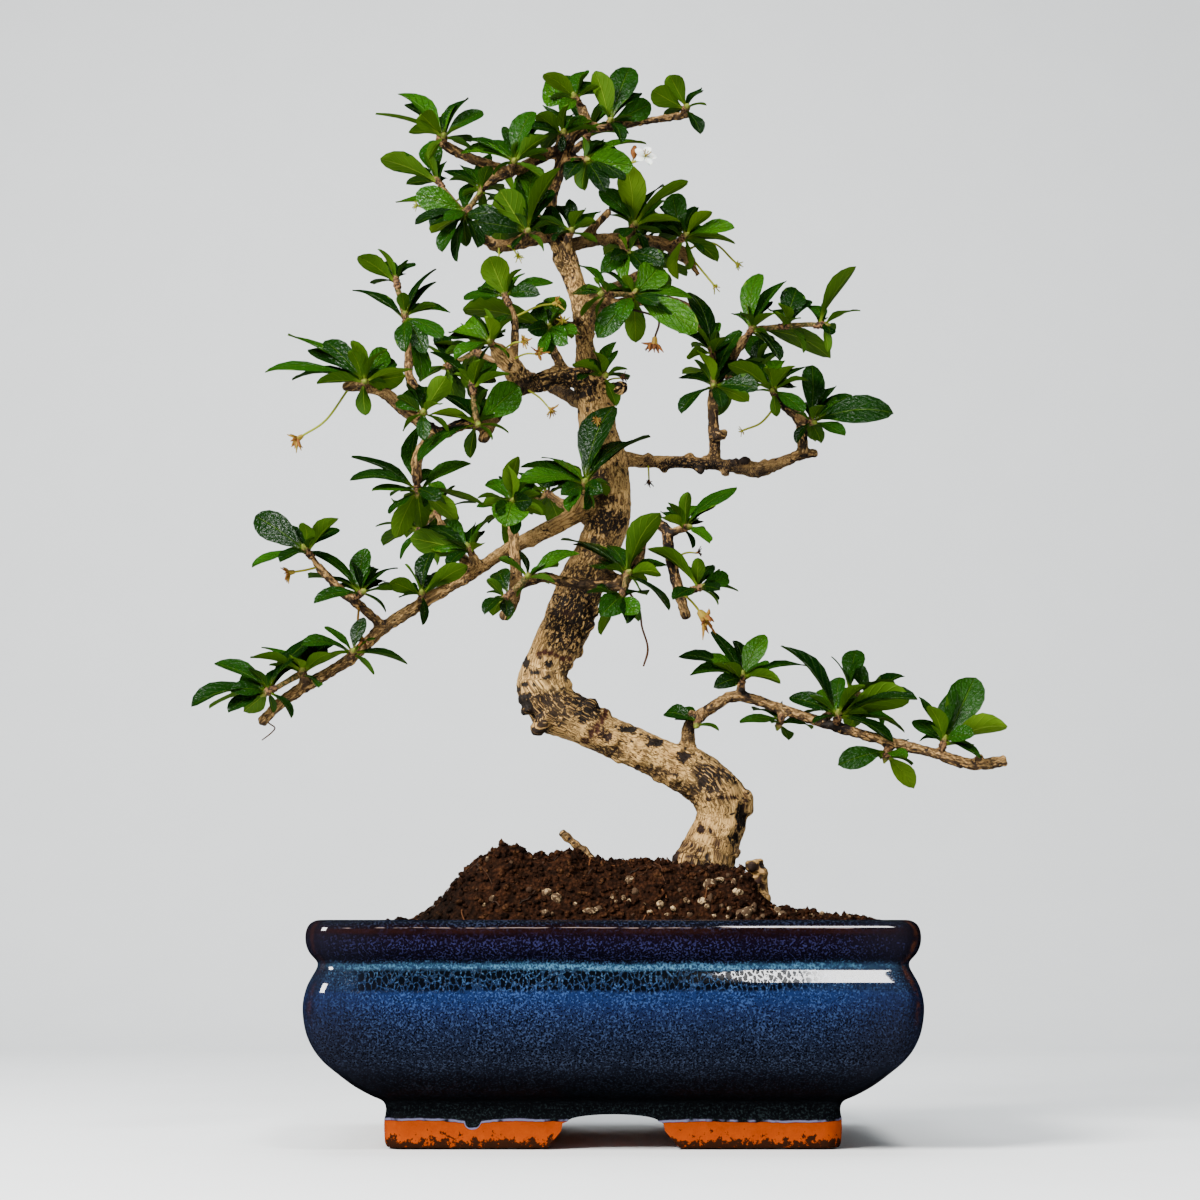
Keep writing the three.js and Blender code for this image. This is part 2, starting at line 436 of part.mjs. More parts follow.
// Each shoot is its buds from the spur outwards: column, row, depth and the leaves
const SHOOTS = {
  crown_left_tip: [
    [444, 137, -16, [
      [420, 113, 20, L], [483, 113, 14, U], [468, 98, 9, U], [399, 92, 16, U], [375, 116, 6, L],
    ]],
  ],
  crown_left_low: [
    [482, 190, -12, [[444, 172, 10, U], [462, 164, 10, U], [488, 156, 14, U], [473, 170, 12, U]]],
    [465, 214, -8, [
      [416, 193, 24, U], [396, 204, 14, U], [415, 224, 8, U], [431, 234, 10, L], [442, 252, 8, U],
      [458, 262, 9, U], [478, 248, 12, U],
    ]],
    [438, 182, -5, [[380, 159, 17, L], [428, 141, 22, U]]],
  ],
  crown_left_inner: [
    [514, 162, -18, [[532, 110, 18, U], [548, 135, 14, L], [459, 137, 9, U], [461, 150, 11, U]]],
  ],
  upper_left: [
    [527, 232, -14, [
      [500, 190, 28, L], [545, 220, 10, U], [477, 223, 17, U], [533, 165, 27, U], [560, 168, 10, L],
    ]],
  ],
  leader_front: [
    [571, 232, -12, [[541, 215, 24, U], [584, 208, 9, L], [594, 222, 6, U]]],
  ],
  crown_top: [
    [576, 98, -3, [[544, 72, 14, L], [585, 70, 12, U], [544, 90, 25, U], [590, 82, 12, U]]],
  ],
  crown_peak: [
    [611, 120, -5, [[595, 71, 20, L], [630, 66, 24, U], [651, 104, 20, U], [618, 100, 12, U]]],
  ],
  crown_right: [
    [686, 108, -3, [[652, 90, 20, L], [670, 75, 18, L], [702, 92, 5, U]]],
  ],
  crown_front: [
    [563, 134, -11, [[537, 114, 14, L], [566, 103, 9, L], [532, 128, 8, U]]],
  ],
  crown_under: [
    [585, 160, -12, [
      [633, 166, 26, U], [605, 192, 16, U], [584, 190, 14, L], [606, 140, 12, U], [646, 141, 8, U],
    ]],
  ],
  upper_right_inner: [
    [634, 226, 3, [
      [628, 163, 24, L], [600, 190, 15, U], [617, 184, 8, U], [688, 181, 8, L], [662, 183, 9, U],
      [664, 198, 12, U], [680, 219, 7, L],
    ]],
  ],
  upper_right_tip: [
    [684, 237, 11, [
      [672, 193, 22, U], [652, 222, 14, U], [696, 207, 13, U], [711, 211, 13, L], [735, 229, 9, U],
      [735, 241, 8, L], [718, 260, 13, L], [676, 279, 9, L],
    ]],
  ],
  upper_right_under: [
    [628, 252, 3, [[602, 271, 15, U], [664, 262, 14, U], [625, 279, 12, U], [645, 262, 10, L]]],
  ],
  upper_right_low: [
    [632, 297, -11, [
      [662, 264, 27, U], [692, 298, 10, U], [697, 331, 24, U], [636, 342, 20, L], [597, 338, 22, U],
      [657, 303, 9, U],
    ]],
    [605, 294, -19, [[580, 263, 10, U], [572, 292, 12, U], [619, 286, 12, U]]],
  ],
  right_high: [
    [714, 386, -5, [
      [699, 350, 9, L], [679, 377, 8, U], [680, 411, 6, U], [741, 331, 14, U], [758, 389, 13, U],
      [749, 402, 12, L],
    ]],
    [712, 352, -3, [[692, 289, 20, U], [679, 331, 9, U], [688, 356, 10, L], [716, 324, 14, U]]],
  ],
  right_top: [
    [752, 329, 8, [[757, 271, 20, U], [786, 281, 13, U], [774, 312, 9, L], [831, 353, 18, L]]],
    [787, 326, 5, [[797, 288, 22, U], [781, 303, 9, L]]],
    [822, 325, 3, [[857, 267, 13, L], [860, 309, 6, L], [806, 305, 7, U]]],
  ],
  right_mid: [
    [773, 391, 0, [
      [729, 362, 14, L], [740, 357, 9, U], [768, 366, 12, L], [780, 359, 14, U], [793, 364, 9, L],
      [807, 364, 6, U], [804, 413, 12, U],
    ]],
  ],
  right_out: [
    [812, 422, 11, [
      [811, 366, 20, U], [852, 396, 12, U], [892, 409, 22, U], [845, 436, 10, U], [822, 405, 10, L],
    ]],
  ],
  left_hanging: [
    [417, 489, -22, [
      [418, 428, 15, U], [351, 458, 7, U], [351, 476, 9, U], [390, 514, 8, U], [396, 538, 19, L],
      [422, 528, 18, L], [457, 520, 16, L], [484, 506, 9, L], [471, 464, 9, U],
    ]],
  ],
  low_left_inner: [
    [470, 550, -24, [
      [423, 524, 12, U], [447, 525, 20, U], [476, 524, 6, U], [494, 516, 6, U], [448, 565, 9, U],
      [409, 538, 24, L],
    ]],
  ],
  low_left_mid: [
    [422, 594, -32, [[390, 581, 16, L], [431, 552, 14, U], [467, 565, 17, L]]],
  ],
  front_twig: [
    [528, 577, -35, [[579, 552, 14, U], [549, 583, 7, L]]],
    [506, 597, -36, [[497, 569, 18, U], [484, 611, 8, U]]],
  ],
  centre: [
    [585, 484, -19, [
      [612, 405, 24, U], [650, 436, 9, U], [521, 466, 10, U], [543, 454, 9, U], [519, 480, 9, U],
      [562, 494, 14, U], [601, 492, 14, U],
    ]],
  ],
  centre_left: [
    [513, 502, -31, [
      [517, 456, 14, L], [484, 506, 12, L], [487, 480, 13, U], [506, 524, 33, U], [531, 482, 14, U],
      [545, 514, 12, L],
    ]],
  ],
  centre_low: [
    [627, 574, -27, [
      [658, 511, 20, L], [562, 537, 8, U], [574, 542, 7, U], [590, 566, 8, U], [661, 571, 12, L],
      [671, 607, 8, U], [645, 584, 10, L],
    ]],
    [621, 597, -30, [[602, 614, 22, U], [638, 615, 18, U], [601, 635, 8, L]]],
  ],
  arch_tip: [
    [686, 528, -27, [[737, 488, 9, U], [662, 512, 9, U], [693, 504, 12, U], [710, 541, 8, U]]],
  ],
  arch_low: [
    [699, 588, -23, [
      [728, 577, 16, U], [738, 591, 6, U], [673, 599, 10, U], [690, 568, 12, U], [650, 545, 12, L],
    ]],
  ],
  low_right_foot: [
    [697, 725, -15, [[664, 711, 15, U]]],
  ],
  low_right_inner: [
    [742, 678, -20, [
      [764, 633, 19, U], [711, 632, 14, U], [680, 652, 8, U], [690, 673, 7, U], [716, 685, 14, U],
      [813, 664, 8, U], [781, 680, 9, L],
    ]],
  ],
  low_right_drop: [
    [780, 722, -20, [[740, 723, 9, U], [813, 726, 8, U]]],
  ],
  low_right_mid: [
    [838, 714, -28, [
      [783, 644, 12, U], [789, 698, 14, U], [840, 677, 16, U], [864, 684, 9, L], [917, 698, 8, U],
      [909, 693, 22, L], [893, 741, 11, U], [812, 700, 8, U],
    ]],
  ],
  low_right_under: [
    [886, 756, -28, [[838, 765, 17, U], [914, 786, 16, L], [906, 756, 7, U]]],
  ],
  low_right_tip: [
    [945, 739, -34, [
      [975, 677, 32, U], [930, 705, 13, L], [914, 719, 14, U], [920, 738, 8, U], [1007, 723, 18, L],
    ]],
  ],
  low_left_tip: [
    [303, 672, -50, [
      [262, 646, 9, U], [318, 641, 24, U], [293, 655, 10, L], [250, 658, 7, L], [330, 652, 10, L],
    ]],
    [268, 692, -55, [
      [214, 665, 12, U], [243, 674, 16, U], [191, 702, 9, U], [228, 711, 9, U], [243, 712, 18, L],
      [297, 661, 8, U], [320, 634, 9, U],
    ]],
  ],
  low_left_spur: [
    [353, 652, -45, [[303, 641, 8, U], [407, 665, 7, U]]],
  ],
  left_low_tip: [
    [307, 551, -46, [
      [254, 514, 25, U], [305, 522, 12, L], [338, 519, 10, L], [338, 529, 13, U], [252, 568, 6, U],
    ]],
  ],
  left_low_inner: [
    [361, 593, -42, [
      [365, 549, 17, U], [396, 565, 7, U], [384, 579, 9, U], [308, 578, 10, U], [314, 600, 10, U],
      [312, 549, 7, U],
    ]],
  ],
  left_tip: [
    [364, 382, -42, [
      [287, 337, 9, U], [325, 340, 22, U], [266, 367, 8, U], [292, 376, 8, U], [317, 384, 9, L],
      [352, 350, 15, L], [386, 349, 20, U], [405, 376, 22, L],
    ]],
  ],
  left_high: [
    [406, 320, -32, [
      [353, 289, 8, U], [435, 268, 8, U], [436, 282, 8, U], [450, 311, 7, U], [443, 338, 12, U],
      [421, 380, 16, U],
    ]],
    [396, 281, -30, [[358, 255, 17, L], [413, 263, 9, U]]],
  ],
  left_joint: [
    [423, 413, -38, [[399, 396, 22, U], [447, 376, 20, L]]],
  ],
  mid_left_tip: [
    [506, 297, -27, [[489, 256, 25, L], [464, 298, 12, U], [523, 273, 6, U], [553, 283, 10, U]]],
  ],
  mid_left_stub: [
    [491, 343, -35, [
      [468, 318, 18, U], [488, 317, 12, L], [506, 316, 12, U], [449, 330, 12, U], [462, 354, 9, L],
    ]],
  ],
  mid_left_fork: [
    [477, 424, -32, [[519, 386, 28, U], [430, 412, 9, L], [416, 456, 7, U], [441, 393, 9, U]]],
    [472, 385, -35, [[480, 360, 13, L], [430, 353, 9, U], [494, 364, 14, U]]],
  ],
  mid_left_trunk: [
    [549, 328, -20, [
      [463, 308, 20, L], [557, 296, 22, U], [576, 333, 7, U], [567, 343, 18, U], [545, 354, 10, U],
    ]],
  ],
  trunk_node: [
    [604, 376, -12, [[613, 341, 13, U], [573, 364, 8, L]]],
  ],
  back_centre: [[548, 494, 50, []], [520, 508, 58, []]],
  back_right: [[728, 378, 52, []], [757, 372, 56, []]],
  back_left: [[476, 352, 47, []], [448, 366, 54, []]],
  back_upper_right: [[654, 266, 43, []], [640, 246, 49, []]],
  back_upper_left: [[515, 200, 38, []], [500, 222, 45, []]],
  back_crown: [[588, 136, 25, []]],
  back_low_left: [[437, 512, 32, []], [420, 530, 38, []]],
  back_low_right: [[850, 690, 16, []], [868, 700, 22, []]],
};

// Rule leaves that a bud bears away from the viewer: turned golden angles apart round the
// line away from the trunk, as many as the bud still lacks
const GOLDEN = THREE.MathUtils.degToRad(137.5);
const RULE_LEAVES_FRONT = 1;
const RULE_LEAVES_BACK = 4;
const RULE_LENGTH = 19;

function ruleLeaves(bud) {
  const back = bud.rows.length === 0;
  const count = back ? RULE_LEAVES_BACK : RULE_LEAVES_FRONT;
  const leaves = [];
  for (let i = 0; i < count; i++) {
    const turn = GOLDEN * (i + 1) + bud.at.x;
    const spread = back ? 0.95 : 0.55;
    const x = spread * Math.cos(turn);
    const z = 0.25 + spread * 0.75 * Math.sin(turn);
    const away = new THREE.Vector3(x, 1 - 0.35 * spread, z).normalize();
    const length = RULE_LENGTH * (0.85 + 0.3 * ((i * 0.618) % 1));
    leaves.push({ away, length });
  }
  return leaves;
}

// Leaves rise from places spread along their bud
function rootOn(bud, index) {
  const share = 2 * ((index * 0.618) % 1) - 1;
  return bud.at.clone().addScaledVector(bud.axis, BUD_ROOTS * share);
}

// Ways to try a leaf until it hangs clear: its tip nearer or farther along the line of
// sight, as a share of its length, and its blade rolled further
const TRIES = [
  [0, 0], [0.15, 0], [-0.15, 0], [0.3, 0], [-0.3, 0], [0, 0.35], [0, -0.35], [0.3, 0.35], [-0.3, 0.35],
  [0.5, 0], [-0.5, 0], [0.5, -0.35], [-0.5, -0.35], [0.75, 0.2], [-0.75, 0.2], [1, 0], [-1, 0],
];

// Place of a seen leaf: the true length and width are guessed from what shows, and the rest of
// the length runs in depth, away for a rising upper side and towards the viewer for a falling one
function seenLeaf(bud, [column, row, width, side], index, [shift, extraRoll]) {
  const flat = seen(column, row, bud.at.y);
  const shown = flat.distanceTo(bud.at);
  const length = Math.max(1.05 * shown, 0.55 * shown + 9);
  const rise = flat.z - bud.at.z;
  const level = Math.abs(rise) < 0.25 * shown;
  const sign = level ? (index % 2 ? 1 : -1) : Math.sign(rise) * side;
  const depth = sign * Math.sqrt(length * length - shown * shown) + shift * length;
  const tip = seen(column, row, bud.at.y + depth);
  const trueWidth = Math.max(width * perPixel(bud.at.y), LEAF_WIDTH_SHARE * length);
  const roll = Math.acos(Math.min(1, width * perPixel(bud.at.y) / trueWidth)) + extraRoll;
  const along = tip.clone().sub(bud.at).normalize();
  const facing = new THREE.Vector3(VIEW_X, -VIEW_DISTANCE, VIEW_HEIGHT).sub(tip).normalize();
  facing.addScaledVector(along, -facing.dot(along)).normalize();
  const over = along.clone().cross(facing);
  if (over.z < 0) {
    over.negate();
  }
  const up = facing.multiplyScalar(side * Math.cos(roll)).addScaledVector(over, Math.sin(roll));
  return { root: rootOn(bud, index), tip, up, width: trueWidth };
}

function ruleLeaf(bud, { away, length }, index, [shift, extraRoll]) {
  const along = away.clone().add(new THREE.Vector3(0.4 * shift, 0, 0.5 * shift)).normalize();
  const tip = bud.at.clone().addScaledVector(along, length);
  const across = along.clone().cross(new THREE.Vector3(0, 0, 1)).normalize();
  const up = across.clone().cross(along).normalize();
  up.multiplyScalar(Math.cos(extraRoll)).addScaledVector(across, Math.sin(extraRoll));
  return { root: rootOn(bud, index), tip, up, width: LEAF_WIDTH_SHARE * length };
}

// Share of the length and of the half width round one side of a blade, with its toothed tip
const BLADE_WAIST = [0.38, 0.44];
const BLADE_BROAD = [0.72, 1];
const BLADE_TOOTH = [0.945, 0.62];
const BLADE_NOTCH = [0.9, 0.34];

// One blade: an arched spoon outline, flat above and with a keel along its midrib below
function blade({ root, tip, up, width }, grown = 0) {
  const span = tip.clone().sub(root);
  const length = span.length();
  const along = span.clone().divideScalar(length);
  const right = along.clone().cross(up).normalize();
  const place = ([share, half], side) => {
    const bulge = LEAF_ARCH * length * 4 * share * (1 - share);
    const reach = share * length + (share > 0.9 ? grown : 0);
    const point = root.clone().addScaledVector(along, reach).addScaledVector(up, bulge);
    return point.addScaledVector(right, side * (half * width / 2 + grown));
  };
  const keel = ([share]) => {
    const bulge = LEAF_ARCH * length * 4 * share * (1 - share) - BLADE_THICK - grown;
    return root.clone().addScaledVector(along, share * length).addScaledVector(up, bulge);
  };
  const start = root.clone().addScaledVector(along, -ROOT_SUNK);
  const end = tip.clone().addScaledVector(along, grown);
  const edge = length < TOOTHED_LEAF ? [] : [BLADE_TOOTH, BLADE_NOTCH];
  const rightEdge = [BLADE_BROAD, ...edge].map((spot) => place(spot, 1));
  const leftEdge = [BLADE_BROAD, ...edge].map((spot) => place(spot, -1));
  const keels = [BLADE_WAIST, BLADE_BROAD].map(keel);
  const points = [start, place(BLADE_WAIST, 1), place(BLADE_WAIST, -1), ...keels];
  const rim = points.length;
  points.push(...rightEdge, end, ...leftEdge.reverse());
  const last = points.length - 1;
  const triangles = [[0, 1, 2], [1, rim, last], [1, last, 2], [0, 3, 1], [0, 2, 3]];
  triangles.push([1, 3, 4], [1, 4, rim], [3, 2, last], [3, last, 4]);
  for (let i = rim; i < last; i++) {
    triangles.push([4, i + 1, i]);
    if (i > rim) {
      triangles.push([rim, i, i + 1]);
    }
  }
  return solid(facets(points, triangles));
}

// Buds stand a little off the bark on their spurs, and later buds follow along a green stem
function growBuds(rows) {
  const buds = [];
  for (const [column, row, depth, leaves] of rows) {
    const wanted = seen(column, row, depth);
    const before = buds.at(-1);
    if (before) {
      const axis = wanted.clone().sub(before.at).normalize();
      buds.push({ at: wanted, axis, rows: leaves });
    } else {
      const foot = nearestWood(wanted);
      const axis = wanted.clone().sub(foot.at);
      const least = foot.bark + BUD_HALF_LENGTH + GAP;
      const reach = axis.length() < least + SHORTEST_SPUR ? least : axis.length();
      axis.normalize();
      const at = foot.at.clone().addScaledVector(axis, reach);
      buds.push({ at, axis, rows: leaves, foot, reach, onBark: reach === least });
    }
  }
  return buds;
}

function spur({ foot, axis, reach }) {
  const end = foot.at.clone().addScaledVector(axis, reach - BUD_HALF_LENGTH - GAP);
  const start = { at: foot.at, radius: Math.min(SPUR_FOOT, 0.85 * foot.radius) };
  return limb([start, { at: end, radius: Math.min(SPUR_END, start.radius) }], STALK_SIDES);
}

const shoots = Object.entries(SHOOTS).map(([name, rows]) => ({ name, buds: growBuds(rows) }));

function makeWood() {
  const draw = seededDraw(11);
  const parts = [
    limb(limbPath(TRUNK), TRUNK_SIDES, 0, LIMB_ROUGH, draw),
    limb(limbPath(ROOT_STUB), ROOT_SIDES, 0, LIMB_ROUGH, draw),
  ];
  for (const rows of LIMBS) {
    const path = limbPath(rows);
    const sides = path[0].radius > THICK_LIMB ? LIMB_SIDES : TWIG_SIDES;
    parts.push(limb(path, sides, 0, LIMB_ROUGH, draw));
  }
  for (const rows of STUBS) {
    parts.push(limb(limbPath(rows), TWIG_SIDES));
  }
  for (const rows of DRY_STALKS) {
    parts.push(limb(witheredHead(limbPath(rows)), STALK_SIDES));
  }
  for (const { buds } of shoots) {
    if (!buds[0].onBark) {
      parts.push(spur(buds[0]));
    }
  }
  return fuse(parts);
}

// Soil: the root ball stands above the fill, its skyline given as X and height
const SKYLINE = [
  [-88, 70], [-66, 73.5], [-59.7, 79], [-52.8, 87], [-46, 94.5], [-41, 96.5], [-37.2, 99.6], [-32, 98],
  [-28.5, 95.5], [-20, 95.4], [-14.6, 97.2], [-4, 93.8], [13, 93.5], [30, 91.5], [44.4, 91.5], [53, 85.4],
  [61.8, 77.8], [68.7, 76.2], [80, 74.6], [88, 73],
];

function skylineAt(x) {
  for (let k = 0; k < SKYLINE.length - 1; k++) {
    const [x0, z0] = SKYLINE[k];
    const [x1, z1] = SKYLINE[k + 1];
    if (x <= x1) {
      const share = Math.max(0, (x - x0) / (x1 - x0));
      return z0 + share * (z1 - z0);
    }
  }
  return SKYLINE.at(-1)[1];
}

function soilHeight(x, y) {
  const fall = THREE.MathUtils.smoothstep(Math.abs(y), BALL_HALF_DEPTH, BALL_FOOT_DEPTH);
  return FILL_LEVEL + (1 - fall) * (skylineAt(x) - FILL_LEVEL);
}

// Evenly spaced points round a rounded rectangle at an inset from the pot's widest line
function soilRing(inset, z) {
  const radius = cornerRadius(inset);
  const halfX = POT_HALF_LENGTH - inset - radius;
  const halfY = POT_HALF_DEPTH - inset - radius;
  const outline = new THREE.Path();
  outline.absarc(halfX, halfY, radius, 0, Math.PI / 2);
  outline.absarc(-halfX, halfY, radius, Math.PI / 2, Math.PI);
  outline.absarc(-halfX, -halfY, radius, Math.PI, 1.5 * Math.PI);
  outline.absarc(halfX, -halfY, radius, 1.5 * Math.PI, 2 * Math.PI);
  outline.closePath();
  const points = outline.getSpacedPoints(SOIL_AROUND).slice(0, SOIL_AROUND);
  return points.map((p) => new THREE.Vector3(p.x, p.y, z));
}

function makeSoil() {
  const draw = seededDraw(5);
  const wall = POT_INSIDE.filter(([, z]) => z < FILL_LEVEL);
  const lowest = FLOOR_TOP + SCREEN_THICK + 2 * GAP;
  const rings = wall.map(([inset, z]) => soilRing(inset + SOIL_WALL_GAP, Math.max(z, lowest)));
  const surface = rings.at(-1);
  for (const share of SOIL_SHARES) {
    rings.push(surface.map((p) => {
      const x = p.x * share + SOIL_ROUGH * (draw() - 0.5);
      const y = p.y * share + SOIL_ROUGH * (draw() - 0.5);
      return new THREE.Vector3(x, y, soilHeight(x, y) + 1.6 * SOIL_ROUGH * (draw() - 0.5));
    }));
  }
  const holes = [
    limb(limbPath(TRUNK.slice(0, 5)), TRUNK_SIDES, HOLE_CLEAR),
    limb(limbPath(ROOT_STUB), ROOT_SIDES, HOLE_CLEAR),
    limb(limbPath(TWIG), TWIG_SIDES, HOLE_CLEAR),
  ];
  return geometryOf(holes.reduce((body, hole) => body.subtract(hole), solid(stack(rings))));
}

// One white flower on its thin green stalk
const FLOWER_AT = [645, 157, -12];
const FLOWER_STALK = [[608.6, 166.4, 3, -5.4], [630, 163, 3, -9], [644, 158, 3, -12]];
const PETALS = 5;
const PETAL_LENGTH = 4.2;

function makeFlower() {
  const at = seen(...FLOWER_AT);
  const facing = new THREE.Vector3(0.25, -0.9, 0.35).normalize();
  const across = new THREE.Vector3(0, 0, 1).cross(facing).normalize();
  const upright = facing.clone().cross(across);
  const parts = [turnedTo(new THREE.OctahedronGeometry(1.3), facing, at), limb(limbPath(FLOWER_STALK), 4)];
  for (let i = 0; i < PETALS; i++) {
    const turn = 2 * Math.PI * i / PETALS;
    const out = across.clone().multiplyScalar(Math.cos(turn)).addScaledVector(upright, Math.sin(turn));
    const tip = at.clone().addScaledVector(out, PETAL_LENGTH).addScaledVector(facing, 0.8);
    parts.push(blade({ root: at, tip, up: facing, width: 2.7 }));
  }
  return fuse(parts);
}

function overlaps(body, others) {
  const box = body.boundingBox();
  return others.some(({ solid: other, box: theirs }) => {
    const apart = [0, 1, 2].some((i) => box.max[i] < theirs.min[i] || theirs.max[i] < box.min[i]);
    return !apart && body.intersect(other).volume() > 0;
  });
}

function crossing(body, others) {
  return others.reduce((sum, other) => sum + body.intersect(other.solid).volume(), 0);
}

function boxed(body) {
  return { solid: body, box: body.boundingBox() };
}

// The first try of a leaf that clears everything outside its shoot, and its own shoot's
// leaves too where one does, or nothing
function clearLeaf(place, others, own) {
  const free = TRIES.map(place).filter((leaf) => !overlaps(blade(leaf, GAP), others));
  const clear = free.map((leaf) => blade(leaf));
  const best = clear.find((body) => crossing(body, own) < OWN_CROSSING) ?? clear[0];
  return best ?? null;
}

// All shoots: stems and buds first, then the seen leaves of all, then the rule leaves of all
function makeShoots(fixed) {
  const grown = shoots.map(({ name, buds }) => {
    const parts = [];
    buds.forEach((bud, k) => {
      const shape = new THREE.OctahedronGeometry(BUD_RADIUS);
      shape.scale(1, 1, BUD_HALF_LENGTH / BUD_RADIUS);
      parts.push(turnedTo(shape, bud.axis, bud.at));
      if (k > 0) {
        const stem = [buds[k - 1], bud].map(({ at }) => ({ at, radius: SHOOT_RADIUS }));
        parts.push(limb(stem, 4));
      }
    });
    return { name, buds, parts, boxes: parts.map(boxed), leaves: [] };
  });
  const add = (shoot, place) => {
    const others = grown.filter((other) => other !== shoot).flatMap(({ boxes }) => boxes);
    const leaf = clearLeaf(place, [...fixed, ...others], shoot.leaves);
    if (leaf) {
      shoot.parts.push(leaf);
      shoot.leaves.push(boxed(leaf));
      shoot.boxes.push(shoot.leaves.at(-1));
    }
  };
  for (const shoot of grown) {
    for (const bud of shoot.buds) {
      bud.rows.forEach((row, index) => {
        if (seen(row[0], row[1], bud.at.y).distanceTo(bud.at) > LEAST_LEAF) {
          add(shoot, (attempt) => seenLeaf(bud, row, index, attempt));
        }
      });
    }
  }
  for (const shoot of grown) {
    for (const bud of shoot.buds) {
      ruleLeaves(bud).forEach((leaf, count) => {
        add(shoot, (attempt) => ruleLeaf(bud, leaf, bud.rows.length + count, attempt));
      });
    }
  }
  return grown.map(({ name, parts }) => ({ name, body: fuse(parts) }));
}

// Finishes
const GLAZE = new THREE.MeshStandardMaterial({ color: 0x1b2c52, roughness: 0.22, metalness: 0 });
const EARTH = new THREE.MeshStandardMaterial({ color: 0x3d2817, roughness: 0.95, metalness: 0 });
const BARK = new THREE.MeshStandardMaterial({ color: 0xb3966c, roughness: 0.85, metalness: 0 });
const DEAD_WOOD = new THREE.MeshStandardMaterial({ color: 0x7d6242, roughness: 0.9, metalness: 0 });
const MESH_PLASTIC = new THREE.MeshStandardMaterial({ color: 0x26282a, roughness: 0.6, metalness: 0 });
const LEAF = new THREE.MeshStandardMaterial({ color: 0x35601f, roughness: 0.38, metalness: 0 });
const PETAL = new THREE.MeshStandardMaterial({ color: 0xf3f1e6, roughness: 0.6, metalness: 0 });

const bonsai = new THREE.Group();

function addPiece(name, geometry, material) {
  const mesh = new THREE.Mesh(geometry, material);
  mesh.name = name;
  bonsai.add(mesh);
}

const wood = makeWood();
const flower = makeFlower();
addPiece('pot', makePot(), GLAZE);
addPiece('screen_left', makeScreen(-1), MESH_PLASTIC);
addPiece('screen_right', makeScreen(1), MESH_PLASTIC);
addPiece('soil', makeSoil(), EARTH);
addPiece('wood', geometryOf(wood), BARK);
addPiece('twig', geometryOf(limb(limbPath(TWIG), TWIG_SIDES)), DEAD_WOOD);
addPiece('flower', geometryOf(flower), PETAL);
for (const { name, body } of makeShoots([boxed(wood), boxed(flower)])) {
  addPiece(`leaves_${name}`, geometryOf(body), LEAF);
}

// The origin is the middle of the whole part's footprint, on the surface it stands on
const extent = new THREE.Box3().setFromObject(bonsai);
const middle = extent.getCenter(new THREE.Vector3());
for (const mesh of bonsai.children) {
  mesh.position.set(-middle.x, -middle.y, -extent.min.z);
}

export default bonsai;
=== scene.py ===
"""Looks of the fukien tea bonsai in its blue glazed pot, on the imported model's frame.

Lengths here are millimetres, as in the part's source, and become metres where a mesh is made.
Pieces are numpy surfaces; places of wood and leaves are picture columns, rows and depths.
"""
import math

import bmesh
import bpy
import numpy as np
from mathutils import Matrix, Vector


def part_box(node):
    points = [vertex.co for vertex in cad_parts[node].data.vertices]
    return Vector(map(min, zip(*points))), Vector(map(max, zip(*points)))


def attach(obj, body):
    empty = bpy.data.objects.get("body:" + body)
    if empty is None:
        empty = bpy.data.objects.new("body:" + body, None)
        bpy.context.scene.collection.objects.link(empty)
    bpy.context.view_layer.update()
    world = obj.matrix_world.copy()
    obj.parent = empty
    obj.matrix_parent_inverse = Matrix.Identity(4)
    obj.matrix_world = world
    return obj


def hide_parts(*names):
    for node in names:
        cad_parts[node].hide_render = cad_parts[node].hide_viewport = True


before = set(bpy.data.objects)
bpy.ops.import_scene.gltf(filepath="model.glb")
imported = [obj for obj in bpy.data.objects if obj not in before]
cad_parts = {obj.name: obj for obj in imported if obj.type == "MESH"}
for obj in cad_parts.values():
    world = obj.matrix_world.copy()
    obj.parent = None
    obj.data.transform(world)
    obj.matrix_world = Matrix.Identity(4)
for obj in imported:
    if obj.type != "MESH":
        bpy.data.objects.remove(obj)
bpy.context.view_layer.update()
pot_low, pot_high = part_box("pot")
# The pot's middle in the frame: tables below are written from there
SHIFT = np.array([(pot_low.x + pot_high.x) * 500, (pot_low.y + pot_high.y) * 500, 0.0])

# The photograph's view
PICTURE_MIDDLE = 600
FOCAL = 2592
VIEW = np.array([-4.2, -900.0, 64.6])
VIEW_PITCH = math.radians(7.58)

# Pot, at its widest line unless said otherwise
POT_HALF_LENGTH = 98.6
POT_HALF_DEPTH = 77.5
POT_CORNER = 9
POT_CORNER_LEAST = 6
EDGE_DIAGONAL = 21  # half length less half depth: where an upright edge lies
POT_OUTSIDE = [
    (6, 72.4), (4.4, 72.5), (3.0, 72.1), (1.7, 71.2), (0.9, 69.8), (0.5, 68), (0.5, 66), (0.9, 64), (1.9, 61.9),
    (3.2, 60.4), (4.1, 59.2), (4.2, 58), (3.7, 56.6), (2.6, 54.6), (1.3, 51.9), (0.4, 48.8), (0, 45.9),
    (0.05, 43), (0.4, 40.2), (1.1, 37), (2.3, 33.9), (3.8, 31.2), (5.6, 28.8), (7.6, 26.6), (9.8, 24.6),
    (12.4, 22.3), (15.2, 20), (18.3, 17.9), (21.2, 16.2), (23.6, 15), (24.7, 13.9), (25.2, 12.2), (25, 10),
    (24.6, 8), (24.7, 4), (25, 1.2), (25.6, 0),
]
POT_UNDERSIDE = [(33.4, 0), (34, 0.8), (35.5, 11.4), (36.5, 12), (60, 12), (76.5, 12)]
